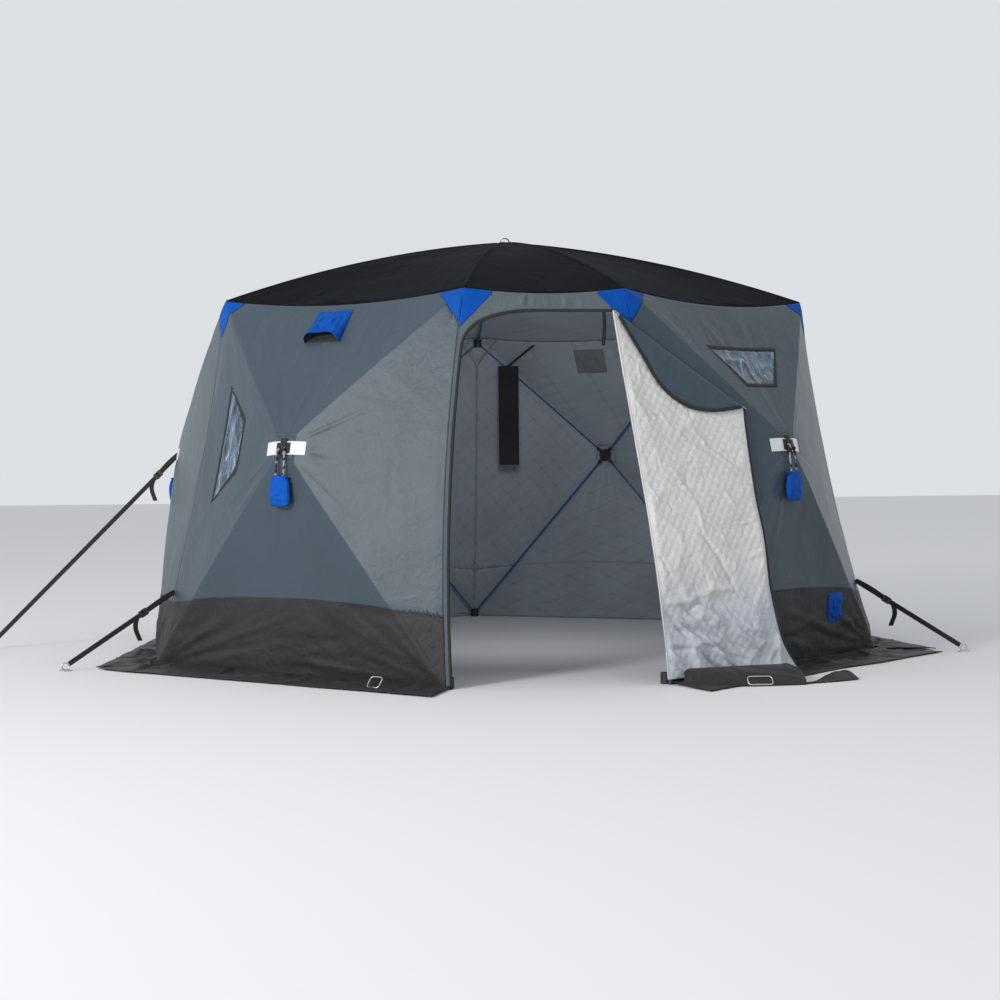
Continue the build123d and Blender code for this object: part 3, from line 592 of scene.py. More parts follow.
# The silver lining's lower part is painted bluish shade, for the shade of the flap's lower folds.
SILVER = cloth_material("silver_lining", (0.72, 0.72, 0.7), sheen=0.0, roughness=0.45, vary=0.05,
                        crinkle=0.5, specular=0.35, low_painted_shade=((0.52, 0.55, 0.61), 0.42))
VENT_GREY = cloth_material("vent_cloth", (0.16, 0.18, 0.2), sheen=0.0, roughness=0.6, vary=0.15,
                           crinkle=0.6)
WEBBING = cloth_material("black_webbing", (0.018, 0.018, 0.02), pitch=0.0022, roughness=0.7, vary=0.15)
REFLECTIVE = cloth_material("white_tape", (0.72, 0.73, 0.75), pitch=0.0015, roughness=0.35, vary=0.05,
                            specular=0.6)


def zip_material():
    material, body = shader("zip_tape", 0.6, 0.05)
    teeth = wave_node(material, "Z", 0.004, 0.2)
    tone = ramp_node(material, teeth, grey_stops((0.3, 0.01), (0.7, 0.035)))
    link(material, tone, body.inputs["Base Color"])
    bump_nodes(material, body, (teeth, 0.6, 0.001))
    return material


def vinyl_material():
    """Clear creased vinyl that shows a pale and a blue side."""
    material, body = shader("clear_vinyl", 0.12, specular=0.6)
    stretch = node(material, "ShaderNodeMapping", Scale=(26.0, 26.0, 4.5), Rotation=(0.0, 0.35, 0.0))
    link(material, place_node(material), stretch.inputs["Vector"])
    streaks = node(material, "ShaderNodeTexNoise", Scale=1.0, Detail=5.0, Distortion=0.9)
    link(material, stretch.outputs["Vector"], streaks.inputs["Vector"])
    crease = streaks.outputs["Fac"]
    stops = [(0.4, (0.006, 0.02, 0.04)), (0.52, (0.015, 0.07, 0.16)), (0.62, (0.08, 0.24, 0.4)),
             (0.72, (0.45, 0.58, 0.66))]
    link(material, ramp_node(material, crease, stops), body.inputs["Base Color"])
    body.inputs["Transmission Weight"].default_value = 0.35
    body.inputs["IOR"].default_value = 1.45
    body.inputs["Coat Weight"].default_value = 0.6
    bump_nodes(material, body, (crease, 0.6, 0.02), (noise_node(material, 0.02, 3.0, 1.0), 0.3, 0.004))
    return material


def moulded_material(name, colour, roughness):
    material, body = shader(name, roughness, specular=0.5)
    stops = [(0.3, [c * 0.8 for c in colour]), (0.7, [c * 1.15 for c in colour])]
    tone = ramp_node(material, noise_node(material, 0.02, 3.0), stops)
    link(material, tone, body.inputs["Base Color"])
    bump_nodes(material, body, (noise_node(material, 0.0015, 2.0), 0.25, 0.0003))
    return material


def steel_material():
    material, body = shader("galvanised", 0.38, metallic=1.0, specular=0.5)
    stops = [(0.3, (0.42, 0.43, 0.45)), (0.7, (0.66, 0.67, 0.69))]
    tone = ramp_node(material, noise_node(material, 0.006, 4.0), stops)
    link(material, tone, body.inputs["Base Color"])
    bump_nodes(material, body, (noise_node(material, 0.002, 3.0), 0.2, 0.0003))
    return material


def rope_material():
    """Black braid with pale reflecting tracer threads that show in short lengths."""
    material, body = shader("tracer_rope", 0.55, 0.1)
    lengths = noise_node(material, 0.022, 0.0)
    threads = noise_node(material, 0.0016, 2.0)
    share = math_node(material, "MULTIPLY", ramp_node(material, lengths, grey_stops((0.52, 0), (0.58, 1))),
                      ramp_node(material, threads, grey_stops((0.4, 0.3), (0.6, 1))))
    tone = mix_node(material, (0.014, 0.014, 0.015), (0.5, 0.5, 0.5), share)
    link(material, tone, body.inputs["Base Color"])
    bump_nodes(material, body, (threads, 0.6, 0.0006))
    return material


ROPE = rope_material()
ZIP = zip_material()
VINYL = vinyl_material()
PLASTIC = moulded_material("moulded_nylon", (0.02, 0.02, 0.021), 0.45)
ROD = moulded_material("blue_fibre_rod", (0.01, 0.09, 0.3), 0.3)
STEEL = steel_material()


# Wide walls
FINE_STEPS = 70
PLAIN_STEPS = 46
PAD_STEPS = 10
KITE_REACH = 0.3
BAND_CROWN = 0.024
BAND_FALL = 0.06
BAND_REACH = 0.13
WINDOW_LONG = 0.6
WINDOW_SHORT = 0.27
WINDOW_DEPTH = 0.235
WINDOW_EDGE = 0.02
WINDOWS = {
    "front_right": (0, 0.55),
    "right": (1, 0.64),
    "rear_left": (0, 0.55),
    "left": (0, 0.55),
    "front_left": (3, 0.64),
}
PATCH_WIDTH = 0.125
PATCH_DROP = 0.185
PATCH_TIP = 0.012


def wall_mesh(wall):
    """One wall as a fine mesh, with the facet that each face belongs to."""
    bm = bmesh.new()
    steps = FINE_STEPS if wall.number in (0, 5) else PLAIN_STEPS
    s, t = parameter(steps, steps)
    s = s ** 0.9
    facet_of = bm.faces.layers.int.new("facet")
    grids = [on_patch(facet, s, t) for facet in wall.facets]
    a, b = (share[..., None] for share in parameter(PAD_STEPS, PAD_STEPS))
    top = wall.pads[0] * (1 - b) + wall.pads[1] * b
    low = wall.pads[3] * (1 - b) + wall.pads[2] * b
    grids.append(top * (1 - a) + low * a)
    for side, points in enumerate(grids):
        places, faces = grid_part(points)
        verts = [bm.verts.new(point) for point in places]
        for face in faces:
            made = bm.faces.new([verts[k] for k in face])
            made[facet_of] = side
    bmesh.ops.remove_doubles(bm, verts=bm.verts, dist=0.0004)
    bmesh.ops.recalc_face_normals(bm, faces=bm.faces)
    middle = sum((face.normal for face in bm.faces), Vector())
    if middle.dot(Vector(wall.normal)) < 0:
        bmesh.ops.reverse_faces(bm, faces=bm.faces)
    return bm, facet_of


def loop_planes(loop, normal):
    """Planes through the sides of four points in a ring: a point and the direction inward for each."""
    centre = sum(loop) / 4
    planes = []
    for k in range(4):
        inward = unit(np.cross(normal, loop[(k + 1) % 4] - loop[k]))
        if inward @ (centre - loop[k]) < 0:
            inward = -inward
        planes.append((loop[k], inward))
    return planes


def window_lines(wall, grow):
    """Planes around a wall's window, which are moved out by grow."""
    side, reach = WINDOWS[wall.name]
    edge_a, edge_b = wall.corners[side], wall.corners[(side + 1) % 4]
    along = unit(edge_b - edge_a)
    normal = unit(np.cross(edge_a - wall.hub, edge_b - wall.hub))
    foot = edge_a + along * ((wall.hub - edge_a) @ along)
    out = unit(foot - wall.hub)
    far = wall.hub + out * (reach + grow)
    near = wall.hub + out * (reach - WINDOW_DEPTH - grow)
    long_half = along * (WINDOW_LONG / 2 + grow)
    short_half = along * (WINDOW_SHORT / 2 + grow)
    return loop_planes([far - long_half, far + long_half, near + short_half, near - short_half], normal)


def kite_lines(index):
    """Planes around the reinforcement of a rim corner."""
    out = outward_at(index)
    side = np.cross(UP, out)
    corner = RIM[index]
    loop = [
        corner + UP * PATCH_WIDTH,
        corner - UP * PATCH_TIP + side * PATCH_WIDTH,
        corner - UP * PATCH_DROP,
        corner - UP * PATCH_TIP - side * PATCH_WIDTH,
    ]
    return loop_planes(loop, out)


def edge_gap(points, planes):
    """How far inside the nearest of the planes the points lie."""
    gap = np.full(len(points), FAR)
    for point, inward in planes:
        gap = np.minimum(gap, (points - point) @ inward)
    return gap


def cut_outline(bm, faces, planes):
    """Cut the given faces along each of the planes."""
    for point, inward in planes:
        faces = cut_along(bm, faces, point, inward)


def edge_distance(wall, points):
    """Distance of points to the wall's nearest edge."""
    nearest = np.full(len(points), FAR)
    for curve in wall.edges:
        line = on_curve(curve, np.linspace(0, 1, 50))
        for start, end in zip(line, line[1:]):
            run = end - start
            t = np.clip((points - start) @ run / (run @ run), 0, 1)
            nearest = np.minimum(nearest, np.linalg.norm(points - start - t[:, None] * run, axis=1))
    return nearest


def border_height(wall, points):
    """Height of the seam of wall and band, which is highest in the middle of the wall."""
    size = np.linalg.norm(wall.corners[2] - wall.corners[3])
    share = 2 * ((points - wall.corners[3]) @ wall.along) / size - 1
    return BAND + BAND_CROWN - BAND_FALL * share ** 2


def curve_border(wall, bm):
    """Slide the cut between wall and band along the cloth to its curved height."""
    tree = BVHTree.FromBMesh(bm)
    verts = list(bm.verts)
    places = np.array([vert.co[:] for vert in verts])
    fade = 1 - smooth(np.abs(places[:, 2] - BAND), 0.0, BAND_REACH)
    moves = (border_height(wall, places) - BAND) * fade
    on_edge = edge_distance(wall, places) < 0.0005
    for vert, place, move, edge in zip(verts, places, moves, on_edge):
        if abs(move) < 0.00001:
            continue
        if edge:
            seam = wall.edges[1] if (place - wall.hub) @ wall.along > 0 else wall.edges[3]
            vert.co = Vector(on_curve(seam, at_height(seam, place[2] + move)))
            continue
        start = place + wall.rise * move + wall.normal * 0.1
        found = tree.ray_cast(Vector(start), Vector(-wall.normal))[0]
        if found:
            vert.co = found


def wall_relief(wall, points):
    """How far the cloth stands off its drawn surface, in metres."""
    u, v = wall.local(points)
    rng = np.random.default_rng(40 + wall.number)
    lines = []
    for _ in range(26):
        turn = rng.uniform(0, 2 * math.pi)
        near, far = rng.uniform(0.06, 0.1), rng.uniform(0.2, 0.6)
        bend = rng.uniform(-0.12, 0.12)
        end = (far * math.cos(turn + bend), far * math.sin(turn + bend))
        lines.append((near * math.cos(turn), near * math.sin(turn), *end,
                      rng.uniform(0.008, 0.02), rng.uniform(-0.0022, 0.0028)))
    for _ in range(30):
        x = rng.uniform(-0.75, 0.75)
        top = 0.72 - rng.uniform(0, 0.05)
        drop = rng.uniform(0.1, 0.35)
        lines.append((x, top, x * 0.8 + rng.uniform(-0.08, 0.08), top - drop,
                      rng.uniform(0.01, 0.022), rng.uniform(-0.002, 0.0028)))
    for _ in range(26):
        x, y = rng.uniform(-0.9, 0.9), rng.uniform(-0.7, 0.7)
        turn = rng.uniform(0, math.pi)
        size = rng.uniform(0.08, 0.3)
        lines.append(ray(x, y, size, turn, rng.uniform(0.01, 0.03), rng.uniform(-0.002, 0.002)))
    relief = creases(u, v, lines)
    relief += noise(u, v, 0.3, 3 + wall.number) * 0.004 + noise(u, v, 0.11, 13 + wall.number) * 0.0016
    beside = np.maximum(np.abs(u) - STRIP_LENGTH / 2, 0)
    above = np.maximum(np.abs(v) - STRIP_HEIGHT / 2, 0)
    return relief * smooth(np.hypot(beside, above), 0.0, 0.05)


def band_relief(wall, points):
    """The slack band: soft folds that fan up from the corners and run level above the ground."""
    along = (points - wall.corners[3]) @ wall.along
    size = np.linalg.norm(wall.corners[2] - wall.corners[3])
    height = points[:, 2]
    rng = np.random.default_rng(70 + wall.number)
    lines = []
    for corner, way in ((0.0, 1), (size, -1)):
        for k in range(15):
            turn = math.radians(5 + 3.6 * k + rng.uniform(-1.5, 1.5))
            reach = rng.uniform(0.5, 1.25) if k < 9 else rng.uniform(0.25, 0.5)
            reach = min(reach, 0.4 / math.sin(turn))
            start = rng.uniform(0.03, 0.12)
            first = (corner + way * start * math.cos(turn), start * math.sin(turn))
            last = (corner + way * reach * math.cos(turn), reach * math.sin(turn))
            width = rng.uniform(0.009, 0.016)
            lines.append((*first, *last, width, rng.uniform(0.005, 0.011) * (1 - k % 3 * 0.7)))
    for _ in range(26):
        x = rng.uniform(0.1, size - 0.1)
        y = rng.uniform(0.02, 0.2)
        turn = rng.uniform(-0.5, 0.5)
        reach = rng.uniform(0.12, 0.4)
        lines.append(ray(x, y, reach, turn, rng.uniform(0.008, 0.02), rng.uniform(-0.006, 0.008)))
    relief = creases(along, height, lines)
    relief += noise(along, height, 0.16, 23 + wall.number) * 0.006
    relief += (crumple(along, height, 0.09, 33 + wall.number) - 0.3) * 0.004
    return relief


def move_wall_points(wall, verts):
    """Drawn surface to dressed surface, still at the seams so that the walls stay joined."""
    margin = smooth(edge_distance(wall, verts), 0.0, 0.05)
    low = smooth(verts[:, 2] - border_height(wall, verts), -0.02, 0.02)
    relief = wall_relief(wall, verts) * low + band_relief(wall, verts) * (1 - low)
    return verts + wall.normal * (relief * margin)[:, None]


def cut_wall(wall):
    """The parts of a wall, by their names: points of the drawn surface, dressed points, faces."""
    bm, facet_of = wall_mesh(wall)
    cut_along(bm, list(bm.faces), Vector((0, 0, BAND)), Vector((0, 0, 1)))
    for index in (wall.number, wall.number + 1):
        near = np.linalg.norm(centre_array(bm) - RIM[index], axis=1) < KITE_REACH
        cut_outline(bm, [face for face, use in zip(bm.faces, near) if use], kite_lines(index))
    windows = []
    if wall.name in WINDOWS:
        side = WINDOWS[wall.name][0]
        windows = [("border", window_lines(wall, 0.0)), ("pane", window_lines(wall, -WINDOW_EDGE))]
        for _, planes in windows:
            cut_outline(bm, [face for face in bm.faces if face[facet_of] == side], planes)
    bm.faces.index_update()
    bm.verts.index_update()
    centres = centre_array(bm)
    facet = np.array([face[facet_of] for face in bm.faces])
    kind = np.where(centres[:, 2] < BAND, "band", "wall").astype(object)
    for index in (wall.number, wall.number + 1):
        near = np.linalg.norm(centres - RIM[index], axis=1) < KITE_REACH + 0.05
        kind[(edge_gap(centres, kite_lines(index)) > 0) & near] = f"kite{index}"
    for label, planes in windows:
        kind[(edge_gap(centres, planes) > 0) & (facet == side)] = label
    curve_border(wall, bm)
    parts = {}
    for label in set(kind):
        verts, faces = pick(bm, kind == label)
        parts[label] = (verts, move_wall_points(wall, verts), faces)
    bm.free()
    return parts


wall_parts = {}
surfaces = {}
for wall in WALLS:
    parts = wall_parts[wall.name] = cut_wall(wall)
    for label, material, slot, width, length in (
        ("wall", GREY, "grey_fabric", 1.9, 1.6),
        ("band", BAND_BLACK, "black_fabric", 2.0, 0.38),
    ):
        flat, verts, faces = parts[label]
        piece = add_object(f"{label}_{wall.name}_cloth", verts, faces, [material, SHADED_LINING], slot)
        thicken(piece, CLOTH_THICK)
        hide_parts(f"{label}_{wall.name}")
    verts, faces = joined([parts[label][1:] for label in ("wall", "band")])
    surfaces[wall.name] = BVHTree.FromPolygons([tuple(v) for v in verts], faces)


# Roof
ROOF_STEPS = 46
ROOF_ACROSS = 64
SLEEVE_HALF = 0.024


def make_roof():
    """Seven gores with a raised seam over each rod's sleeve, and a round of cloth at the top."""
    verts = []
    faces = []
    ring = [level(corner - AXIS) * CROWN + AXIS + UP * APEX for corner in RIM]
    s, t = parameter(ROOF_STEPS, ROOF_ACROSS)
    t = 0.3 * t + 0.7 * (1 - np.cos(math.pi * t)) / 2
    for index in range(CORNERS):
        after = (index + 1) % CORNERS
        ridge_a = (ring[index] + RIM[index]) / 2 + UP * ROOF_BOW * 2
        ridge_b = (ring[after] + RIM[after]) / 2 + UP * ROOF_BOW * 2
        dip = (ridge_a + ridge_b) / 2 - UP * ROOF_DIP * 2
        crown = [ring[index], (ring[index] + ring[after]) / 2, ring[after]]
        rows = [crown, [ridge_a, dip, ridge_b], eave_curve(index, after)]
        points = on_patch(rows, s, t)
        rng = np.random.default_rng(90 + index)
        lines = []
        wide = float(np.linalg.norm(RIM[index] - RIM[after]))
        for _ in range(24):
            x = rng.uniform(0.05, 0.95)
            drop = rng.uniform(0.06, 0.22)
            end = x + rng.uniform(-0.05, 0.05)
            lines.append((x, 1.0, end, 1.0 - drop, 0.014, rng.uniform(-0.003, 0.005)))
        for _ in range(18):
            x, y = rng.uniform(0.05, 0.95), rng.uniform(0.1, 0.9)
            turn = rng.uniform(0, math.pi)
            size = rng.uniform(0.05, 0.25)
            lines.append(ray(x, y, size, turn, 0.02, rng.uniform(-0.003, 0.004)))
        relief = creases(t, s, lines) * min(wide, 1.0)
        relief += noise(t * wide, s * 1.6, 0.25, 60 + index) * 0.005
        relief += noise(t * wide, s * 1.6, 0.07, 61 + index) * 0.0012
        side = np.minimum(t, 1 - t) * wide * (0.05 + s)
        relief *= smooth(side, 0.0, 0.06) * smooth(1 - s, 0.0, 0.02) * smooth(s, 0.0, 0.08)
        relief += 0.004 * bump(side, 0, 0.009) - 0.002 * bump(side, SLEEVE_HALF, 0.004)
        points[..., 2] += relief
        start = len(verts)
        verts.extend(points.reshape(-1, 3))
        faces.extend(grid_faces(ROOF_STEPS, ROOF_ACROSS, start))
    centre = len(verts)
    verts.append(AXIS + UP * APEX)
    for index in range(CORNERS):
        base = index * ROOF_STEPS * ROOF_ACROSS
        for k in range(ROOF_ACROSS - 1):
            faces.append([centre, base + k + 1, base + k])
    verts = np.array(verts)
    outward = [face[::-1] for face in faces]
    piece = add_object("roof_cloth", verts, outward, [ROOF_BLACK, SHADED_LINING], "black_fabric")
    weld(piece)
    if sum(face.normal.z * face.area for face in piece.data.polygons) < 0:
        piece.data.flip_normals()
    thicken(piece, ROOF_THICK)
    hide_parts("roof_canopy")


make_roof()


# Door wall
def door_face(height):
    """Y of the flat door wall at a height."""
    return FOOT[0][1] + (RIM[0][1] - FOOT[0][1]) * (height / DOOR_RIM_HEIGHT)


def door_half_width(height):
    """Half the width of the door wall, up to its bowed seams."""
    share = height / DOOR_RIM_HEIGHT
    straight = DOOR_FOOT / 2 + (DOOR_RIM - DOOR_FOOT) / 2 * share
    return straight + DOOR_BOW * 4 * share * (1 - share)


def hinge_fit(foot):
    """X of the doorway's hinge side as a smooth function of the height."""
    heights = np.linspace(DOOR_TOP, foot, 4)
    shares = np.minimum(heights / JAMB_TAPER, 1)
    sides = door_half_width(heights) - RIGHT_JAMB_FOOT - (RIGHT_JAMB - RIGHT_JAMB_FOOT) * shares
    return np.poly1d(np.polyfit(heights, sides, 3))


HINGE = hinge_fit(0.0)
HEADER_ROWS = 14
JAMB_ROWS = 7
JAMB_STEPS = 120
JAMB_BEND = 1.6
FRONT = (0, -1, 0)


def opening_curve(grow):
    """Left edge, arch and top edge of the doorway as (x, z), from the foot up and across."""
    left_top = DOOR_TOP - ARCH_DROP
    heights = np.linspace(0, left_top, 60)
    left = [(-door_half_width(z) + LEFT_JAMB - grow, z) for z in heights]
    start = np.array(left[-1])
    end = np.array([start[0] + ARCH_WIDTH, DOOR_TOP + grow])
    pull = np.array([start[0] + ARCH_PULL_IN, DOOR_TOP + grow - ARCH_PULL_DOWN])
    arch = [on_curve([start, pull, end], t) for t in np.linspace(0, 1, 40)[1:]]
    top = [(x, DOOR_TOP + grow) for x in np.linspace(end[0], HINGE(DOOR_TOP), 40)[1:]]
    return np.array(left + [tuple(p) for p in arch] + top)


def door_outline(points):
    """Where the seam and the eave lie outside each point of the opening's curve."""
    eave = eave_curve(6, 0)
    result = []
    corner = -DOOR_RIM / 2
    for x, z in points:
        if z < DOOR_TOP - ARCH_DROP - 1e-6:
            result.append((-door_half_width(z), z))
    count = len(points) - len(result)
    split = max(2, int(count * 0.35))
    for z in np.linspace(DOOR_TOP - ARCH_DROP, DOOR_RIM_HEIGHT, split):
        result.append((-door_half_width(z), z))
    for x in np.linspace(corner, HINGE(DOOR_TOP), count - split + 1)[1:]:
        share = (x + DOOR_RIM / 2) / DOOR_RIM
        result.append((x, float(on_curve(eave, share)[2])))
    return np.array(result[:len(points)])


def on_door(points, forward=0.0):
    """Places on the door wall, drawn as (x, z), and moved forward."""
    x, z = points[..., 0], points[..., 1]
    return np.stack([x + AXIS[0], door_face(z) - forward, z], axis=-1)


def header_points():
    """The door wall beside and above the opening, creased like cloth that hangs from its eave."""
    points = between(opening_curve(ZIP_WIDTH), door_outline(opening_curve(ZIP_WIDTH)), HEADER_ROWS)
    x, z = points[..., 0], points[..., 1]
    rng = np.random.default_rng(5)
    lines = []
    for _ in range(26):
        x0 = rng.uniform(-0.36, 0.3)
        lines.append((x0, DOOR_TOP + 0.01, x0 + rng.uniform(-0.03, 0.03), DOOR_RIM_HEIGHT,
                      rng.uniform(0.006, 0.012), rng.uniform(0.002, 0.006)))
    for _ in range(14):
        x0 = rng.uniform(-0.4, -0.2)
        lines.append((x0, 1.5, x0 + rng.uniform(0.05, 0.2), 1.78,
                      rng.uniform(0.006, 0.012), rng.uniform(0.002, 0.005)))
    relief = creases(x, z, lines) + noise(x, z, 0.1, 8) * 0.002
    share = np.linspace(0, 1, HEADER_ROWS)[:, None]
    relief *= np.sin(math.pi * np.clip(share, 0.02, 0.98)) ** 0.5
    for side in (-1, 1):
        relief *= smooth(np.hypot(x - side * DOOR_RIM / 2, z - DOOR_RIM_HEIGHT), 0.17, 0.27)
    return on_door(points, relief)


def jamb_points():
    """The strip between the hinge side and the seam, whose top is bent down to the eave."""
    heights = np.linspace(0, 1, JAMB_STEPS) * DOOR_RIM_HEIGHT
    edge = np.array([(HINGE(h), h) for h in heights])
    seam = np.array([(door_half_width(h), h) for h in heights])
    points = between(edge, seam, JAMB_ROWS)
    x, z = points[..., 0], points[..., 1]
    top = on_curve(eave_curve(6, 0), (x + DOOR_RIM / 2) / DOOR_RIM)[..., 2]
    squeeze = (top - JAMB_BEND) / (DOOR_RIM_HEIGHT - JAMB_BEND)
    z = np.where(z > JAMB_BEND, JAMB_BEND + (z - JAMB_BEND) * squeeze, z)
    return on_door(np.stack([x, z], axis=-1), noise(x, z, 0.08, 9) * 0.0015)


def make_door_wall():
    verts, faces = joined([grid_part(header_points()), grid_part(jamb_points())])
    cloth = add_cloth("door_wall_cloth", (verts, faces), [HEADER_GREY_PAINTED_LIGHT, SHADED_LINING], "grey_fabric",
                      FRONT, CLOTH_THICK)
    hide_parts("door_wall")
    band = on_door(between(opening_curve(0.0), opening_curve(ZIP_WIDTH), 5))
    share = np.linspace(0, 1, 5)[:, None, None]
    band = band - np.array([0, 1, 0]) * (0.0035 * bump(share, 0.5, 0.22))
    tape = add_cloth("door_zip", grid_part(band), [ZIP], "zipper", FRONT, CLOTH_THICK)
    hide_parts("door_zipper")


make_door_wall()


# Corner patches and windows
def wall_patch(wall, index, part):
    """One wall's share of a corner's reinforcement, stitched along its edge."""
    flat, verts, faces = part
    groove = bump(edge_gap(flat, kite_lines(index)), 0.012, 0.004)
    lift = 0.0012 - 0.001 * groove + noise(flat[:, 0] + flat[:, 1], flat[:, 2], 0.03, index) * 0.0012
    fade = smooth(edge_distance(wall, flat), 0.0, 0.012)
    return verts + wall.normal * (lift * fade)[:, None] + outward_at(index) * 0.0012, faces


def door_patch(index):
    """The triangle of a door corner's patch that lies on the door wall."""
    side = 1 if index == 0 else -1
    corner = np.array([side * DOOR_RIM / 2, DOOR_RIM_HEIGHT])
    low = np.array([side * door_half_width(DOOR_RIM_HEIGHT - PATCH_DROP), DOOR_RIM_HEIGHT - PATCH_DROP])
    reach = PATCH_WIDTH / abs(np.cross(UP, outward_at(index))[0])
    tip = np.array([corner[0] - side * reach, 0.0])
    tip[1] = float(on_curve(eave_curve(6, 0), (tip[0] + DOOR_RIM / 2) / DOOR_RIM)[2])
    tip_low = tip - np.array([0, PATCH_TIP])
    a, b = (share[..., None] for share in parameter(16, 16))
    top = corner * (1 - b) + tip * b
    bottom = low * (1 - b) + tip_low * b
    points = top * (1 - a) + bottom * a
    relief = noise(points[..., 0], points[..., 1], 0.03, 60 + index) * 0.001
    return grid_part(on_door(points, relief + 0.0025))


def make_patches():
    """Blue reinforcements: the two walls' shares of each kite, and the door wall's at the door."""
    for index in range(CORNERS):
        parts = []
        for wall in WALLS:
            if index in (wall.number, wall.number + 1):
                parts.append(wall_patch(wall, index, wall_parts[wall.name][f"kite{index}"]))
        if index in (0, 6):
            parts.append(door_patch(index))
        verts, faces = joined(parts)
        piece = add_cloth(f"corner_patch_{index}", (verts, faces), [BLUE, SHADED_LINING], "blue_fabric",
                          outward_at(index), CLOTH_THICK, seam=0.003)
        if index == 0:
            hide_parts("corner_patches")


def make_windows():
    """The bound border and the creased pane of each window."""
    for name in WINDOWS:
        wall = WALL[name]
        flat, verts, faces = wall_parts[name]["border"]
        gap = edge_gap(flat, window_lines(wall, 0.0))
        lift = 0.002 * np.sin(np.clip(gap / WINDOW_EDGE, 0, 1) * math.pi)
        border = add_cloth(f"window_border_{name}", (verts + wall.normal * lift[:, None], faces), [BLACK],
                           "black_fabric", wall.normal, BORDER_THICK)
        flat, verts, faces = wall_parts[name]["pane"]
        u, v = wall.local(flat)
        relief = (crumple(u, v, 0.1, 7) - 0.4) * 0.012 + noise(u, v, 0.06, 9) * 0.004
        relief *= smooth(edge_gap(flat, window_lines(wall, -WINDOW_EDGE)), 0.0, 0.04)
        pane = add_cloth(f"window_pane_{name}", (verts + wall.normal * relief[:, None], faces), [VINYL],
                         "window_vinyl", wall.normal, VINYL_THICK)
        if name == "front_right":
            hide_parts("window_borders")
            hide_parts("window_panes")


make_patches()
make_windows()


# Door flap
FLAP_ROWS = 220
FLAP_COLUMNS = 130
EAR_ROWS = 26
EAR_COLUMNS = 110
FLAP_THICK = 0.012
FLAP_OFF = 0.0005
FLAP_RIDGE_HEIGHT = 0.665
FLAP_SEAM_HEIGHT = 0.93
FOLD_END = (0.977, 1.245)
HINGE_LAP = 0.01
HINGE_FOOT = 0.028
EAR_INSET = 0.032
FREE_EDGE = [(0.892, -0.098), (1.06, -0.348), (1.197, -0.523), (1.326, -0.729), (1.482, -0.91),
             (1.624, -0.99)]
EAR_CURVE = [(0.128, -0.062), (0.225, -0.111), (0.324, -0.164), (0.412, -0.19), (0.504, -0.19),
             (0.588, -0.167), (0.689, -0.108)]
FLAP_ZIP = 0.016
FLAP_PULLS = [
    [(0.586, -0.504), (0.774, -0.578), (0.868, -0.691), (0.934, -0.715)],
    [(0.609, -0.266), (0.715, -0.293), (0.889, -0.298)],
    [(0.416, -0.293), (0.508, -0.334)],
    [(0.871, -0.43), (0.981, -0.479), (1.038, -0.476)],
    [(1.124, -0.674), (1.202, -0.559)],
]
FLAP_RIDGES = [
    [(0.817, -1.095), (0.904, -1.032), (0.97, -0.96), (1.029, -0.886), (1.125, -0.834)],
    [(1.0, -1.0), (1.16, -1.01), (1.33, -1.02)],
    [(0.94, -1.14), (1.1, -1.16), (1.24, -1.15)],
]
FLAP_VALLEYS = [
    [(0.858, -0.697), (0.963, -0.736), (1.053, -0.785), (1.115, -0.812)],
    [(1.028, -0.968), (1.187, -0.975), (1.348, -0.983)],
    [(0.923, -1.1), (1.086, -1.125), (1.247, -1.111)],
    [(0.919, -1.265), (1.051, -1.198)],
    [(0.899, -1.167), (1.002, -1.143)],
    [(1.128, -1.053), (1.298, -1.071)],
    [(0.975, -0.973), (0.953, -1.061)],
]
HEM_LINE = [(0.561, 0.07), (1.107, 0.057)]
HEM_BULGE = [(0.55, -2.016, 0.084), (0.812, -2.072, 0.1), (1.098, -2.01, 0.07)]
HEM_FRONT = [(0.541, -2.026, 0.004), (0.8, -2.096, 0.004), (1.09, -2.057, 0.004)]
TONGUE_ROOT = (1.068, -2.036)
TONGUE_END = (1.376, -1.887)
TONGUE_WIDTH = 0.075
HEM_RUN = 0.6
HEM_FOLDS = [
    (0.22, 0.02, 0.56, 0.05, 0.016, 0.012),
    (0.26, 0.05, 0.6, 0.1, 0.012, -0.008),
    (0.3, 0.09, 0.6, 0.13, 0.012, 0.009),
    (0.2, 0.0, 0.3, 0.14, 0.012, -0.007),
    (0.03, 0.0, 0.035, 0.15, 0.012, 0.004),
]
ON_SNOW = 0.005
SNOW_SIDE = (0, -0.35, 1)


def flap_frame():
    wall = WALL["front_right"]
    ridge = [row[0] for row in wall.facets[3]]
    share = at_height(ridge, FLAP_RIDGE_HEIGHT)
    step = on_curve(ridge, share + 0.05) - on_curve(ridge, share - 0.05)
    seam = seam_curve(0)
    seam_rest = on_curve(seam, at_height(seam, FLAP_SEAM_HEIGHT))
    front = unit(np.cross(step, seam_rest - on_curve(ridge, share)))
    if front[1] > 0:
        front = -front
    rest = seam_rest + front * (FLAP_THICK + FLAP_OFF)

    def in_plane(x, z):
        x = x + AXIS[0]
        depth = (front[0] * (x - rest[0]) + front[2] * (z - rest[2])) / front[1]
        return np.array([x, rest[1] - depth, z])

    side = hinge_fit(HINGE_FOOT)
    heights = np.linspace(DOOR_TOP, HINGE_FOOT, FLAP_ROWS)
    hinge = np.array([in_plane(side(height) - HINGE_LAP, height) for height in heights])
    fold_end = in_plane(*FOLD_END)
    x_dir = unit(fold_end - hinge[0])
    y_dir = np.cross(front, x_dir)
    hem = [in_plane(*point) for point in HEM_LINE]
    return hinge, x_dir, y_dir, front, float(np.linalg.norm(fold_end - hinge[0])), hem


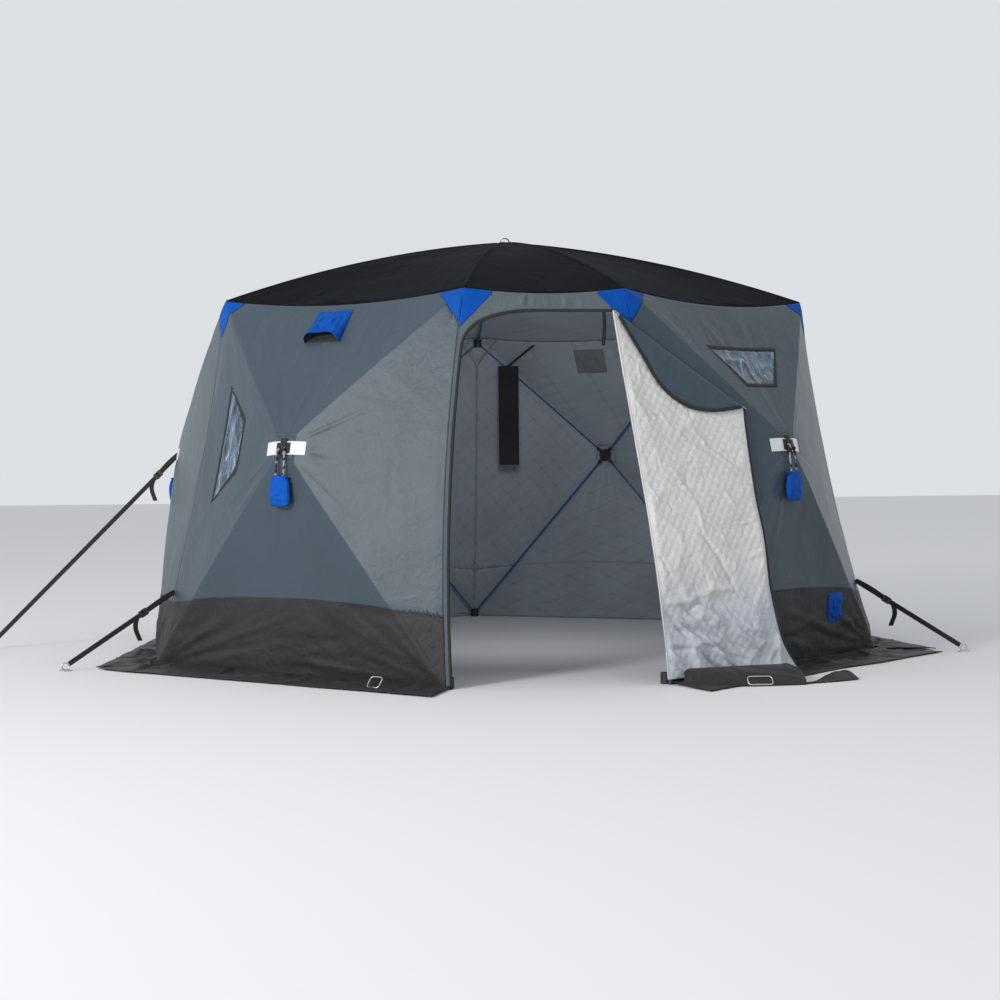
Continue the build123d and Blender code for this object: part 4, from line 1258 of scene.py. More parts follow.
FLAP_HINGE, FLAP_X, FLAP_Y, FLAP_N, FOLD_LENGTH, HEM_ENDS = flap_frame()
FLAP_ORIGIN = FLAP_HINGE[0]


def spline_points(points, count):
    """A smooth line through the points (Catmull-Rom), sampled evenly by length."""
    points = np.array(points, float)
    ends = np.vstack([2 * points[0] - points[1], points, 2 * points[-1] - points[-2]])
    result = []
    for k in range(1, len(ends) - 2):
        t = np.linspace(0, 1, 40, endpoint=False)[:, None]
        a, b, c, d = ends[k - 1:k + 3]
        result.append(0.5 * (2 * b + (c - a) * t + (2 * a - 5 * b + 4 * c - d) * t ** 2
                             + (3 * b - a - 3 * c + d) * t ** 3))
    line = np.vstack(result + [points[-1:]])
    length = np.concatenate([[0], np.cumsum(np.linalg.norm(np.diff(line, axis=0), axis=1))])
    even = np.linspace(0, length[-1], count)
    return np.stack([np.interp(even, length, line[:, axis]) for axis in range(line.shape[1])], axis=1)


def in_flap(x, y, lift):
    return (FLAP_ORIGIN + np.asarray(x)[..., None] * FLAP_X + np.asarray(y)[..., None] * FLAP_Y
            + np.asarray(lift)[..., None] * FLAP_N)


def quilting(x, y, pitch, height):
    """Puffed diamonds between lines of stitches."""
    bend = noise(x, y, 0.12, 77) * 0.006
    a = np.abs(np.sin(math.pi * (x + y + bend) / pitch))
    b = np.abs(np.sin(math.pi * (x - y - bend) / pitch))
    return height * (a * b) ** 0.45


def fold_lines(paths, width, height):
    """Straight lengths of folds that run through the places of each path."""
    lines = []
    for path in paths:
        for first, second in zip(path, path[1:]):
            lines.append((*first, *second, width, height))
    return lines


def flap_relief(x, y, across, down):
    """Folds of the open flap: long pulls from the fold, and bundles that fan out above the snow."""
    rng = np.random.default_rng(21)
    lines = fold_lines(FLAP_PULLS, 0.011, 0.005)
    lines += fold_lines(FLAP_RIDGES, 0.016, 0.011)
    lines += fold_lines(FLAP_VALLEYS, 0.013, -0.013)
    for _ in range(260):
        x0, y0 = rng.uniform(0.05, 1.55), rng.uniform(-1.25, -0.1)
        reach = rng.uniform(0.04, 0.14)
        turn = rng.choice([-0.75, 0.6]) + rng.uniform(-0.35, 0.35)
        lines.append(ray(x0, y0, reach, turn, rng.uniform(0.004, 0.008), rng.uniform(-0.0045, 0.0045)))
    for _ in range(34):
        x0, y0 = rng.uniform(0.82, 1.25), rng.uniform(-1.22, -0.92)
        reach = rng.uniform(0.08, 0.3)
        turn = rng.uniform(-0.3, 0.25)
        lines.append(ray(x0, y0, reach, turn, rng.uniform(0.007, 0.014), rng.uniform(-0.012, 0.008)))
    half = math.sqrt(0.5)
    relief = creases(x, y, lines) + quilting((x + y) * half, (y - x) * half, 0.05, 0.004)
    free = noise(x, y, 0.3, 31) * 0.008 + noise(x, y, 0.09, 32) * 0.003
    free += (crumple(x, y, 0.16, 56) - 0.3) * 0.008
    relief += free * smooth(-y, 0.1, 0.3)
    low = smooth(down, 0.62, 0.9)
    relief += low * ((crumple(x, y * 1.8, 0.14, 55) - 0.3) * 0.02 + noise(x * 0.6, y, 0.05, 57) * 0.004)
    relief += 0.006 * smooth(-y, 0.2, 0.4)
    edge = np.minimum(across, 1 - across)
    return relief * smooth(edge, 0.0, 0.05) * (0.3 + 0.7 * smooth(-y, 0.03, 0.2))


def make_flap():
    """The quilted side of the open flap, its zipper, its folded ear and the strip at its hinge."""
    down, across = parameter(FLAP_ROWS, FLAP_COLUMNS)
    left = np.stack([(FLAP_HINGE - FLAP_ORIGIN) @ FLAP_X, (FLAP_HINGE - FLAP_ORIGIN) @ FLAP_Y], axis=1)
    free = spline_points([(FOLD_LENGTH, 0.0)] + FREE_EDGE, FLAP_ROWS)
    inner = free - np.array([FLAP_ZIP, 0])
    flat = left[:, None] * (1 - across[..., None]) + inner[:, None] * across[..., None]
    x, y = flat[..., 0], flat[..., 1]
    cloth = grid_part(in_flap(x, y, flap_relief(x, y, across, down)))
    piece = add_cloth("door_flap_cloth", cloth, [SILVER, GREY], "quilted_lining", FLAP_N, QUILT_THICK)
    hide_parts("door_flap")
    share = np.linspace(0, 1, 5)[None, :, None]
    tape = inner[:, None] * (1 - share) + free[:, None] * share
    swell = 0.003 * bump(share[..., 0], 0.5, 0.25) * np.ones((FLAP_ROWS, 1))
    side_zip = grid_part(in_flap(tape[..., 0], tape[..., 1], swell + 0.001))
    ear_zip, (ear_verts, ear_faces) = ear_parts()
    zipper = add_cloth("flap_zip", joined([side_zip, ear_zip]), [ZIP], "zipper", FLAP_N, CLOTH_THICK)
    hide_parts("flap_zipper")
    ear = add_cloth("flap_ear", (ear_verts, ear_faces), [GREY, SILVER], "grey_fabric",
                    FLAP_N, SHELL_THICK)
    make_return()


def ear_parts():
    """The upper corner of the flap, folded down over its front: its zipper, and its outer face."""
    ends = [(EAR_INSET, -0.012), (FOLD_LENGTH - EAR_INSET, -0.012)]
    curve = spline_points(ends[:1] + EAR_CURVE + ends[1:], EAR_COLUMNS)
    fold = np.stack([np.linspace(0.0, FOLD_LENGTH, EAR_COLUMNS), np.zeros(EAR_COLUMNS)], axis=1)
    raised = curve + np.array([0, FLAP_ZIP * 0.7])
    flat = between(fold, raised, EAR_ROWS)
    x, y = flat[..., 0], flat[..., 1]
    s = np.linspace(0, 1, EAR_ROWS)[:, None] * np.ones_like(x)
    rng = np.random.default_rng(12)
    lines = []
    for _ in range(14):
        x0 = rng.uniform(0.08, 0.72)
        lines.append((x0, -0.01, x0 + rng.uniform(-0.06, 0.1), -rng.uniform(0.06, 0.16),
                      rng.uniform(0.008, 0.016), rng.uniform(-0.002, 0.004)))
    lift = 0.011 + 0.006 * np.sin(math.pi * s) + creases(x, y, lines) + noise(x, y, 0.09, 14) * 0.0025
    roll = smooth(s, 0.0, 0.1)
    cloth = in_flap(x, y + 0.004 * (1 - roll), lift * (0.25 + 0.75 * roll))
    tape = between(raised, curve - np.array([0, FLAP_ZIP * 0.5]), 5)
    band = np.linspace(0, 1, 5)[:, None]
    bulge = 0.0135 + 0.003 * bump(band, 0.5, 0.25) * np.ones((1, EAR_COLUMNS))
    return grid_part(in_flap(tape[..., 0], tape[..., 1], bulge)), grid_part(cloth)


def make_return():
    """The strip that joins the flap's hinge side to the doorway."""
    front = FLAP_HINGE
    heights = front[:, 2]
    back = np.stack([HINGE(heights) + AXIS[0], door_face(heights) - 0.001, heights], axis=1)
    share = np.linspace(0, 1, 8)[None, :, None]
    points = front[:, None] * (1 - share) + back[:, None] * share
    bend = np.sin(math.pi * share[..., 0]) * (0.004 + 0.003 * noise(heights, heights * 0, 0.12, 5)[:, None])
    verts, faces = grid_part(points + np.array([1.0, 0, 0]) * bend[..., None])
    piece = add_object("flap_return", verts, faces, [SILVER], "quilted_lining")
    thicken(piece, SHELL_THICK)


make_flap()


def hem_rows():
    """The hem's line on the flap, its bulge and its line on the snow."""
    left, right = HEM_ENDS
    bulge = [AXIS + np.array(point) for point in HEM_BULGE]
    front = [AXIS + np.array(point) for point in HEM_FRONT]
    return [[left, (left + right) / 2, right], bulge, front]


def make_hem():
    """Black hem below the flap: a slack roll that comes down on the snow, and a loose tongue."""
    s, t = parameter(44, 130)
    points = on_patch(hem_rows(), s, t)
    u = t * HEM_RUN
    v = s * 0.16
    rng = np.random.default_rng(3)
    lines = list(HEM_FOLDS)
    for _ in range(26):
        x0 = rng.uniform(0.0, HEM_RUN)
        lines.append((x0, rng.uniform(0.0, 0.05), x0 + rng.uniform(-0.1, 0.1), rng.uniform(0.09, 0.16),
                      rng.uniform(0.005, 0.011), rng.uniform(-0.003, 0.005)))
    relief = creases(u, v, lines) + (crumple(u, v, 0.06, 4) - 0.3) * 0.004
    ends = smooth(np.minimum(t, 1 - t), 0.0, 0.03)
    relief = relief * np.sin(math.pi * np.clip(s, 0.03, 0.97)) * ends
    points = points + relief[..., None] * unit(np.array([0.12, -0.9, 0.42]))
    corner = 1 - np.sqrt(np.clip(1 - (1 - np.clip(t / 0.06, 0, 1)) ** 2, 0, 1))
    points[..., 2] -= corner * (points[..., 2] - 0.03) * 0.6 * (1 - s)
    points[..., 2] = np.maximum(points[..., 2], ON_SNOW)
    verts, faces = joined([grid_part(points), hem_tongue()])
    piece = add_object("flap_hem", verts, faces, [BAND_BLACK], "black_fabric")
    face_out(piece, SNOW_SIDE)
    weld(piece)
    thicken(piece, CLOTH_THICK)
    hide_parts("door_flap_hem")


def hem_tongue():
    """The loose tongue: narrow where it leaves the hem, then wide, twisted up and round at its end."""
    start = np.array([*TONGUE_ROOT, 0.0]) + AXIS
    tip = np.array([*TONGUE_END, 0.0]) + AXIS
    along = unit(tip - start)
    side = np.cross(UP, along)
    size = np.linalg.norm(tip - start)
    a, b = parameter(50, 18)
    half = TONGUE_WIDTH / 2 * (0.32 + 0.68 * smooth(a, 0.1, 0.7))
    round_end = np.clip((a * size - size + TONGUE_WIDTH / 2) / (TONGUE_WIDTH / 2), 0, 1)
    half = half * np.sqrt(np.clip(1 - round_end ** 2, 0.0, 1))
    across = 2 * b - 1
    twist = np.radians(4 + 24 * smooth(a, 0.25, 0.75))
    lift = 0.006 + half * np.sin(twist) * (across + 1) + 0.002 * noise(a * size, across * 0.04, 0.03, 6)
    points = start + (a * size)[..., None] * along + (across * half * np.cos(twist))[..., None] * side
    points[..., 2] = np.maximum(lift, ON_SNOW)
    return grid_part(points)


make_hem()


# Snow skirt
SKIRT_FLARE = 0.105
SKIRT_REACH = 0.292


def skirt_points(wall):
    """A length of the skirt from the foot outwards, wider at its free edge, with its folds."""
    start = FOOT[wall.number]
    size = np.linalg.norm(FOOT[wall.number + 1] - start)
    s, t = parameter(34, 150)
    rng = np.random.default_rng(120 + wall.number)
    along = t * size + (t - 0.5) * 2 * s * SKIRT_FLARE
    wave = noise(t * size, t * 0, 0.35, 140 + wall.number) * 0.018
    wave += noise(t * size, t * 0, 0.12, 141) * 0.007
    out = 0.001 + s * (SKIRT_REACH + wave)
    lines = []
    for _ in range(34):
        x0 = rng.uniform(-0.05, size + 0.05)
        lines.append((x0, 0.0, x0 + rng.uniform(-0.18, 0.18), rng.uniform(0.12, 0.32),
                      rng.uniform(0.009, 0.022), rng.uniform(0.003, 0.014)))
    for _ in range(10):
        x0 = rng.uniform(0, size)
        lines.append((x0, rng.uniform(0.08, 0.25), x0 + rng.uniform(0.15, 0.4), rng.uniform(0.08, 0.28),
                      rng.uniform(0.012, 0.02), rng.uniform(0.004, 0.012)))
    height = 0.006 + np.maximum(creases(along, out, lines), -0.002)
    height += 0.003 * (noise(along, out, 0.12, 150 + wall.number) + 1)
    height += 0.012 * bump(out, 0, 0.03)
    points = start + along[..., None] * wall.along + out[..., None] * wall.outward
    points[..., 2] = np.maximum(height, 0.0045)
    return points


def make_skirts():
    for wall in WALLS:
        part = grid_part(skirt_points(wall))
        piece = add_cloth(f"skirt_{wall.name}", part, [BAND_BLACK], "black_fabric", SNOW_SIDE, SKIRT_THICK)
        if wall.number == 0:
            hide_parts("snow_skirt")


make_skirts()


# What hangs on the walls
WEBBING_WIDTH = 0.025
WEBBING_THICK = 0.0024
CROSSING_WIDTH = 0.084
CROSSING_HEIGHT = 0.092
POUCH_WIDTH = 0.118
POUCH_HEIGHT = 0.138
POUCH_DEPTH = 0.044
POUCH_BACK = 0.0014
POUCH_AROUND = 76
POUCH_LEVELS = [-0.5, -0.3, 0.2, 0.5]
ROPE_RADIUS = 0.0034
FABRIC = 0.006
PORT_ALONG = 0.475
PORT_HEIGHT = 0.258
PORT_SIZE = (0.14, 0.15)
HOOD_FOLDS = [
    (0.07, 0.0, -0.02, 0.15, 0.012, -0.012),
    (0.055, 0.03, 0.085, 0.19, 0.01, 0.009),
    (-0.05, 0.02, -0.085, 0.18, 0.012, 0.007),
    (0.0, 0.02, 0.03, 0.16, 0.008, 0.005),
    (-0.09, 0.06, -0.02, 0.14, 0.008, -0.006),
]
VENT_FOLDS = [
    (0.0, 0.3, 1.0, 0.1, 0.05, 0.008),
    (0.1, 0.9, 0.9, 0.6, 0.04, 0.007),
    (0.0, 0.6, 1.0, 0.75, 0.05, 0.006),
]
PORT_FOLDS = [
    (-0.03, 0.07, -0.01, -0.06, 0.007, 0.006),
    (0.025, 0.07, 0.01, -0.05, 0.007, 0.005),
    (0.045, 0.05, 0.03, -0.03, 0.006, 0.004),
    (-0.05, -0.01, 0.0, -0.06, 0.006, 0.005),
    (0.05, -0.02, 0.0, -0.055, 0.006, 0.005),
]
GUY_RUN = 1.07
GUY_LIFT = 0.0053
GUY_BUCKLE_AT = 0.11
TIE_RUN = 0.45
TIE_BUCKLE_AT = 0.3
STRAP_GAP = 0.0006
TAIL_LENGTH = 0.12
BUCKLE_LENGTH = 0.046
ANCHOR_TOP = 0.022
ANCHOR_REACH = 0.0208


def on_wall(wall, points, direction, lift):
    """Points moved along a direction onto the dressed wall, and lifted off it again."""
    tree = surfaces[wall.name]
    flat = points.reshape(-1, 3)
    result = []
    for point in flat:
        found = tree.ray_cast(Vector(point - direction * 0.25), Vector(direction))[0]
        result.append(point if found is None else np.array(found[:]))
    placed = np.array(result).reshape(points.shape)
    return placed - direction * np.asarray(lift)[..., None]


def hub_patch(wall, width, height, steps, lift):
    """A rectangle of cloth on the hub: its points, with puckered stitching along its edge."""
    rows, columns = steps
    s, t = parameter(rows, columns)
    x = (t - 0.5) * width
    y = (0.5 - s) * height
    points = wall.hub + x[..., None] * wall.along + y[..., None] * wall.rise
    edge = np.minimum(width / 2 - np.abs(x), height / 2 - np.abs(y))
    stitch = 0.0009 * bump(edge, 0.004, 0.0015)
    return on_wall(wall, points, -wall.normal, lift - stitch)


def make_strips():
    """At each hub a white strip, and two short straps that cross over it."""
    for wall in WALLS:
        strip = grid_part(hub_patch(wall, STRIP_LENGTH, STRIP_HEIGHT, (18, 60), STRIP_THICK))
        piece = add_cloth(f"strip_{wall.name}", strip, [REFLECTIVE], "reflective_fabric",
                          wall.normal, TAPE_THICK)
        level_band = hub_patch(wall, CROSSING_WIDTH, 0.05, (18, 34), STRIP_THICK + 0.0022)
        upright = hub_patch(wall, 0.038, CROSSING_HEIGHT, (40, 16), STRIP_THICK + 0.0046)
        crossed = joined([grid_part(level_band), grid_part(upright)])
        cross = add_cloth(f"crossing_{wall.name}", crossed, [WEBBING], "webbing", wall.normal, 0.0022)
        if wall.number == 0:
            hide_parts("reflective_strips")
            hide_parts("hub_straps")


def pouch_seat(wall):
    """Where the middle of a pouch's back touches the wall, clear of its crown."""
    back = wall.middle_point(2, HUB_HEIGHT - POUCH_DROP) + wall.outward * POUCH_BACK
    a, b = parameter(5, 5)
    samples = back + ((a - 0.5) * POUCH_WIDTH)[..., None] * wall.along
    samples = samples + ((b - 0.5) * POUCH_HEIGHT)[..., None] * UP
    behind = on_wall(wall, samples, -wall.outward, np.zeros(a.shape))
    return back + wall.outward * max(0.0, float(((behind - back) @ wall.outward).max()))


def rounded(wave, power):
    """A wave from -1 to 1 with a fuller shape."""
    return np.sign(wave) * np.abs(wave) ** power


def make_pouch(wall):
    """A small bag, full below and gathered by its cord at the top, with a seam at each side."""
    centre = pouch_seat(wall) + wall.outward * POUCH_DEPTH / 2
    place = np.concatenate([np.full(6, -0.5), np.linspace(-0.5, 0.5, 44)[1:-1], np.full(6, 0.5)])
    close = np.concatenate([np.linspace(0.02, 1, 6), np.ones(42), np.linspace(1, 0.04, 6)])
    wide = np.interp(place, POUCH_LEVELS, [0.88, 1.0, 0.96, 0.78])
    deep = np.interp(place, POUCH_LEVELS, [0.5, 1.0, 0.78, 0.42])
    turn = np.linspace(0, 2 * math.pi, POUCH_AROUND, endpoint=False)[None]
    pleat = 1 + 0.09 * np.sin(turn * 15 + wall.number) * smooth(place, 0.28, 0.5)[:, None]
    neck = 1 - 0.16 * bump(place, 0.4, 0.035)[:, None]
    seam = 1 + 0.05 * sum(bump(turn, middle, 0.07) for middle in (0, math.pi, 2 * math.pi))
    x = rounded(np.cos(turn), 0.6) * (POUCH_WIDTH / 2 * wide * close)[:, None]
    y = rounded(np.sin(turn), 0.75) * (POUCH_DEPTH / 2 * deep * close)[:, None]
    height = np.repeat((place * POUCH_HEIGHT)[:, None], POUCH_AROUND, axis=1)
    height = height + 0.004 * np.cos(turn * 2) * smooth(-place, 0.3, 0.5)[:, None]
    height = height - (1 - close)[:, None] * 0.012 * np.sign(place)[:, None]
    fold = noise(x + height * 0.4, height, 0.035, 200 + wall.number) * 0.0035
    fold += (crumple(x, height, 0.05, 210 + wall.number) - 0.3) * 0.005
    y = y + np.sign(np.sin(turn)) * fold * (close * smooth(0.5 - np.abs(place), 0.0, 0.1))[:, None]
    x = x * pleat * neck * seam
    y = np.maximum(y * pleat * neck, -POUCH_DEPTH / 2)
    points = centre + x[..., None] * wall.along + y[..., None] * wall.outward + height[..., None] * UP
    piece = add_object(f"pouch_{wall.name}", *skin_part(points), [BLUE], "blue_fabric")
    if wall.number == 0:
        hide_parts("hub_pouches")
    return centre + UP * POUCH_HEIGHT / 2


def tube(line, radius, around=9):
    """A round skin along a line, with a radius for each of its points."""
    tangents = unit_rows(np.gradient(line, axis=0))
    side = unit_rows(np.cross(tangents, np.array([0.31, 0.17, 0.93])))
    other = np.cross(tangents, side)
    turn = np.linspace(0, 2 * math.pi, around, endpoint=False)[None, :, None]
    ring = np.cos(turn) * side[:, None] + np.sin(turn) * other[:, None]
    return skin_part(line[:, None] + radius[:, None, None] * ring)


def make_rope(wall, side, pouch_top):
    """One of the two ropes from the hub to the mouth of the pouch: two laid strands with a knot."""
    across = wall.along * side
    seat = wall.hub + across * 0.009 + wall.normal * 0.0055
    crown = seat + wall.normal * 0.014 + across * 0.004
    last = pouch_top + across * 0.024 - UP * 0.002
    line = spline_points([seat, crown - UP * 0.004, crown * 0.72 + last * 0.28 + across * 0.006, last], 100)
    share = np.linspace(0, 1, 100)
    knot = bump(share, 0.24, 0.05)
    tangent = unit(line[-1] - line[0])
    beside = unit(np.cross(tangent, wall.normal))
    parts = []
    for phase in (0.0, math.pi):
        turn = share * 24 + phase
        reach = ROPE_RADIUS * 0.75 + knot * 0.004
        strand = line + (np.cos(turn) * reach)[:, None] * beside
        strand = strand + (np.sin(turn) * reach * 0.7)[:, None] * wall.normal
        parts.append(tube(strand, ROPE_RADIUS * 0.95 + knot * 0.0016))
    return parts


def make_pouches():
    for wall in WALLS:
        pouch_top = make_pouch(wall)
        if wall.name == "left":
            continue
        ropes = joined(make_rope(wall, -1, pouch_top) + make_rope(wall, 1, pouch_top))
        piece = add_object(f"ropes_{wall.name}", *ropes, [ROPE], "webbing")
        if wall.number == 0:
            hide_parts("hub_ropes")


def make_hood(wall):
    """A limp hood over a vent, stitched to the wall along its top and cheeks; its black inside and the
    black patch under it are painted shade, the patch also the vent's dark mesh.
    """
    top = wall.middle_point(0, RIM_HEIGHT - HOOD_EAVE_GAP)
    down = unit(wall.middle_point(0, top[2] - HOOD_LENGTH) - top)
    inward = np.cross(wall.along, down)
    s, t = parameter(46, 80)
    side = np.sin(math.pi / 2 * (2 * t - 1))
    length = HOOD_LENGTH * (1 - 0.2 * (1 - np.abs(side) ** 3) * smooth(s, 0.5, 1.0))
    x = side * HOOD_WIDTH / 2
    y = s * length
    arch = (1 - np.abs(side) ** 7) ** 0.55
    relief = creases(x, y, HOOD_FOLDS) + noise(x, y, 0.05, 31) * 0.004
    relief += (crumple(x, y, 0.06, 17) - 0.3) * 0.005
    sag = 0.016 * (1 - side ** 2) * s ** 2
    rise = 0.0015 + (HOOD_MOUTH * s - sag + relief * smooth(s, 0.0, 0.15)) * arch
    base = top + x[..., None] * wall.along + y[..., None] * down
    hood = on_wall(wall, base, inward, np.maximum(rise, 0.0012))
    # A black patch on the wall under the hood: the dark mesh of the vent, and painted shade in the hood's
    # mouth.
    a, b = parameter(14, 20)
    base = top + ((b - 0.5) * HOOD_WIDTH * 0.88)[..., None] * wall.along
    base = base + (0.02 + a * 0.165)[..., None] * down
    vent = on_wall(wall, base, inward, np.full(a.shape, 0.0012))
    parts = [grid_part(hood), grid_part(vent)]
    uses = [use for use, (_, faces) in enumerate(parts) for _ in faces]
    part = joined(parts)
    # The hood's thickness takes the second material, so its inside is black: painted shade under the hood.
    piece = add_cloth(f"hood_{wall.name}", part, [BLUE, BLACK], "blue_fabric", -inward, SHELL_THICK,
                      uses=uses)
    if wall.name == "front_left":
        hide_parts("vent_hoods")
    a, b = parameter(28, 30)
    base = top + ((b - 0.5) * 0.2)[..., None] * wall.along + (a * 0.17)[..., None] * down
    folds = creases(a, b, VENT_FOLDS) + noise(a, b, 0.2, 91) * 0.002
    rim = smooth(np.minimum(np.minimum(a, 1 - a), np.minimum(b, 1 - b)), 0.0, 0.12)
    inner = grid_part(on_wall(wall, base, inward, -0.0048 - np.abs(folds) * rim))
    patch = add_cloth(f"vent_patch_{wall.name}", inner, [VENT_GREY], "grey_fabric", inward, TAPE_THICK)


def make_port():
    """The cover of the hose port: straight above, round below, gathered and creased."""
    wall = WALL["front_right"]
    foot = (wall.corners[2] + wall.corners[3]) / 2
    centre = foot + wall.along * PORT_ALONG + UP * PORT_HEIGHT
    share, turn = parameter(24, 97)
    angle = turn * 2 * math.pi
    power = np.where(np.sin(angle) > 0, 0.3, 0.62)
    x = PORT_SIZE[0] / 2 * share * rounded(np.cos(angle), power)
    y = PORT_SIZE[1] / 2 * share * rounded(np.sin(angle), power)
    base = centre + x[..., None] * wall.along + y[..., None] * UP
    relief = creases(x, y, PORT_FOLDS) + noise(x, y, 0.03, 41) * 0.002
    full = 0.002 + (0.009 + relief) * (1 - share ** 6) - 0.0012 * bump(share, 0.93, 0.02)
    part = grid_part(on_wall(wall, base, -wall.outward, full))
    piece = add_cloth("port_cover", part, [BLUE], "blue_fabric", wall.outward, TAPE_THICK, seam=0.0002)
    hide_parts("hose_port")


make_strips()
make_pouches()
for name in ("front_left", "rear_right"):
    make_hood(WALL[name])
make_port()


# Straps
def strap_part(line, across, width=WEBBING_WIDTH, thick=WEBBING_THICK):
    """Webbing along a line, with the direction of its width and thicker selvedges."""
    tangents = unit_rows(np.gradient(line, axis=0))
    across = unit_rows(np.tile(across, (len(line), 1)))
    face = unit_rows(np.cross(tangents, across))
    turn = np.linspace(0, 2 * math.pi, 18, endpoint=False)
    x = rounded(np.cos(turn), 0.35) * width / 2
    y = rounded(np.sin(turn), 0.5) * thick / 2 * (1 + 0.25 * (np.abs(x) > width * 0.38))
    return skin_part(line[:, None] + x[None, :, None] * across[:, None] + y[None, :, None] * face[:, None])


def length_of(line):
    return float(np.linalg.norm(np.diff(line, axis=0), axis=1).sum())


def stay_parts(seat, normal, foot, share):
    """A taut strap from its seat to its anchor, doubled down to its buckle, with a hanging tail."""
    side = np.cross(UP, level(normal))
    ring = foot + UP * ANCHOR_TOP
    aim = unit(ring - seat)
    end = ring - aim * ANCHOR_REACH
    across = np.cross(aim, side)
    line = seat + np.linspace(0, 1, 90)[:, None] * (end - seat)
    place = seat + (end - seat) * share
    double = seat + np.linspace(0, 1, 40)[:, None] * (place - seat)
    bow = np.sin(math.pi * np.linspace(0, 1, 40))[:, None]
    double = double + side * (0.0032 + 0.004 * bow) + UP * 0.006 * bow
    tail_top = place + aim * (BUCKLE_LENGTH + WEBBING_WIDTH) / 2
    drop = np.linspace(0, 1, 40)[:, None]
    tail = tail_top - UP * TAIL_LENGTH * drop
    tail = tail + level(aim) * 0.012 * np.sin(drop * 4) + side * 0.008 * drop ** 2
    parts = [strap_part(line, across), strap_part(double, across), strap_part(tail, level(aim))]
    return parts, length_of(line) + length_of(double) + length_of(tail)


def tie_down_ends(index):
    """Seat, direction outwards and anchor of the tie-down at a corner."""
    seam = seam_curve(index)
    share = at_height(seam, BAND + WEBBING_WIDTH)
    outward = level(FOOT[index] - AXIS)
    heading = unit(on_curve(seam, share + 0.01) - on_curve(seam, share - 0.01))
    normal = unit(np.cross(heading, np.cross(UP, outward)))
    if normal @ outward < 0:
        normal = -normal
    return on_curve(seam, share) + normal * STRAP_GAP, normal, FOOT[index] + outward * TIE_RUN


def make_stays():
    wall = WALL["left"]
    anchor = (wall.hub + wall.outward * GUY_RUN) * np.array([1, 1, 0])
    stays = [(wall.hub + wall.normal * GUY_LIFT, wall.normal, anchor, GUY_BUCKLE_AT)]
    stays += [(*tie_down_ends(index), TIE_BUCKLE_AT) for index in range(1, 6)]
    for number, ends in enumerate(stays):
        parts, length = stay_parts(*ends)
        name = "guy_strap_webbing" if number == 0 else f"tie_down_{number}"
        piece = add_object(name, *joined(parts), [WEBBING], "webbing")
        if number == 0:
            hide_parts("guy_strap")
        if number == 1:
            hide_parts("corner_tie_downs")


def cad_corners(name):
    low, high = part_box(name)
    return np.array(low), np.array(high)


def make_toggle():
    """The strap that ties the flap back, rolled up short, hanging from the doorway's header."""
    drop = np.linspace(0, 1, 40)
    curl = 0.008 * np.sin(drop * 5) * drop
    low, high = cad_corners("door_toggle")
    middle = (low + high) / 2
    line = np.stack([np.full(40, middle[0]) + curl * 0.5, np.full(40, middle[1]) - curl * 0.4,
                     high[2] - drop * (high[2] - low[2])], axis=1)
    part = strap_part(line, (1.0, 0, 0), high[0] - low[0], 0.0028)
    piece = add_object("tie_back", *part, [WEBBING], "webbing")
    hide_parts("door_toggle")


def make_panel():
    """The flat padded panel at the back, with a bound edge, and its strap."""
    low, high = cad_corners("hanging_panel")
    middle = (low + high) / 2
    size = high - low
    a, b = (np.sin(math.pi / 2 * (2 * share - 1)) for share in parameter(90, 34))
    full = ((1 - np.abs(a) ** 14) * (1 - np.abs(b) ** 8)) ** 0.5
    binding = bump(np.maximum(np.abs(b), np.abs(a) ** 5), 0.86, 0.03)
    depth = (size[1] / 2 + 0.001) * full * (1 - 0.25 * binding)
    depth = depth + noise(b * 0.065, a * 0.32, 0.05, 77) * 0.001 * full
    x = middle[0] + b * size[0] / 2
    z = middle[2] + a * size[2] / 2
    sides = [grid_part(np.stack([x, middle[1] + way * depth, z], axis=-1)) for way in (-1, 1)]
    piece = add_object("rear_panel", *joined(sides), [BLACK], "black_fabric")
    weld(piece, 0.0001)
    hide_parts("hanging_panel")
    wall = WALL["rear_right"]
    top = on_patch(wall.facets[0], np.array(0.96), np.array(0.75)) - wall.normal * (FABRIC + 0.0048)
    foot = np.array([middle[0], middle[1], cad_corners("panel_strap")[0][2]])
    line = foot + np.linspace(0, 1, 50)[:, None] * (top - foot)
    strap = add_object("panel_webbing", *strap_part(line, wall.along), [WEBBING], "webbing")
    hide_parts("panel_strap")


def make_cap():
    """The round patch at the top of the roof, with its pull loop."""
    low, high = cad_corners("roof_cap")
    radius = (high[0] - low[0]) / 2
    share, turn = parameter(26, 97)
    angle = turn * 2 * math.pi
    stitch = bump(share, 0.86, 0.025) + bump(share, 0.5, 0.025)
    lift = 0.0058 - 0.004 * share ** 8 - 0.0012 * stitch
    lift += 0.0006 * noise(share * 0.05, turn * 0.3, 0.02, 88)
    disc = np.stack([AXIS[0] + radius * share * np.cos(angle), AXIS[1] + radius * share * np.sin(angle),
                     APEX + lift], axis=-1)
    reach = high[2] - APEX - 0.006
    swing = np.linspace(0, math.pi, 60)
    line = np.stack([AXIS[0] + np.cos(swing) * reach * 0.96, np.full(60, AXIS[1]),
                     APEX + 0.006 + np.sin(swing) * (reach - 0.0012)], axis=1)
    parts = [grid_part(disc), strap_part(line, (0, 1.0, 0))]
    piece = add_object("roof_patch", *joined(parts), [WEBBING], "black_fabric")
    weld(piece, 0.00005)
    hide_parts("roof_cap")


make_stays()
make_toggle()
make_panel()
make_cap()


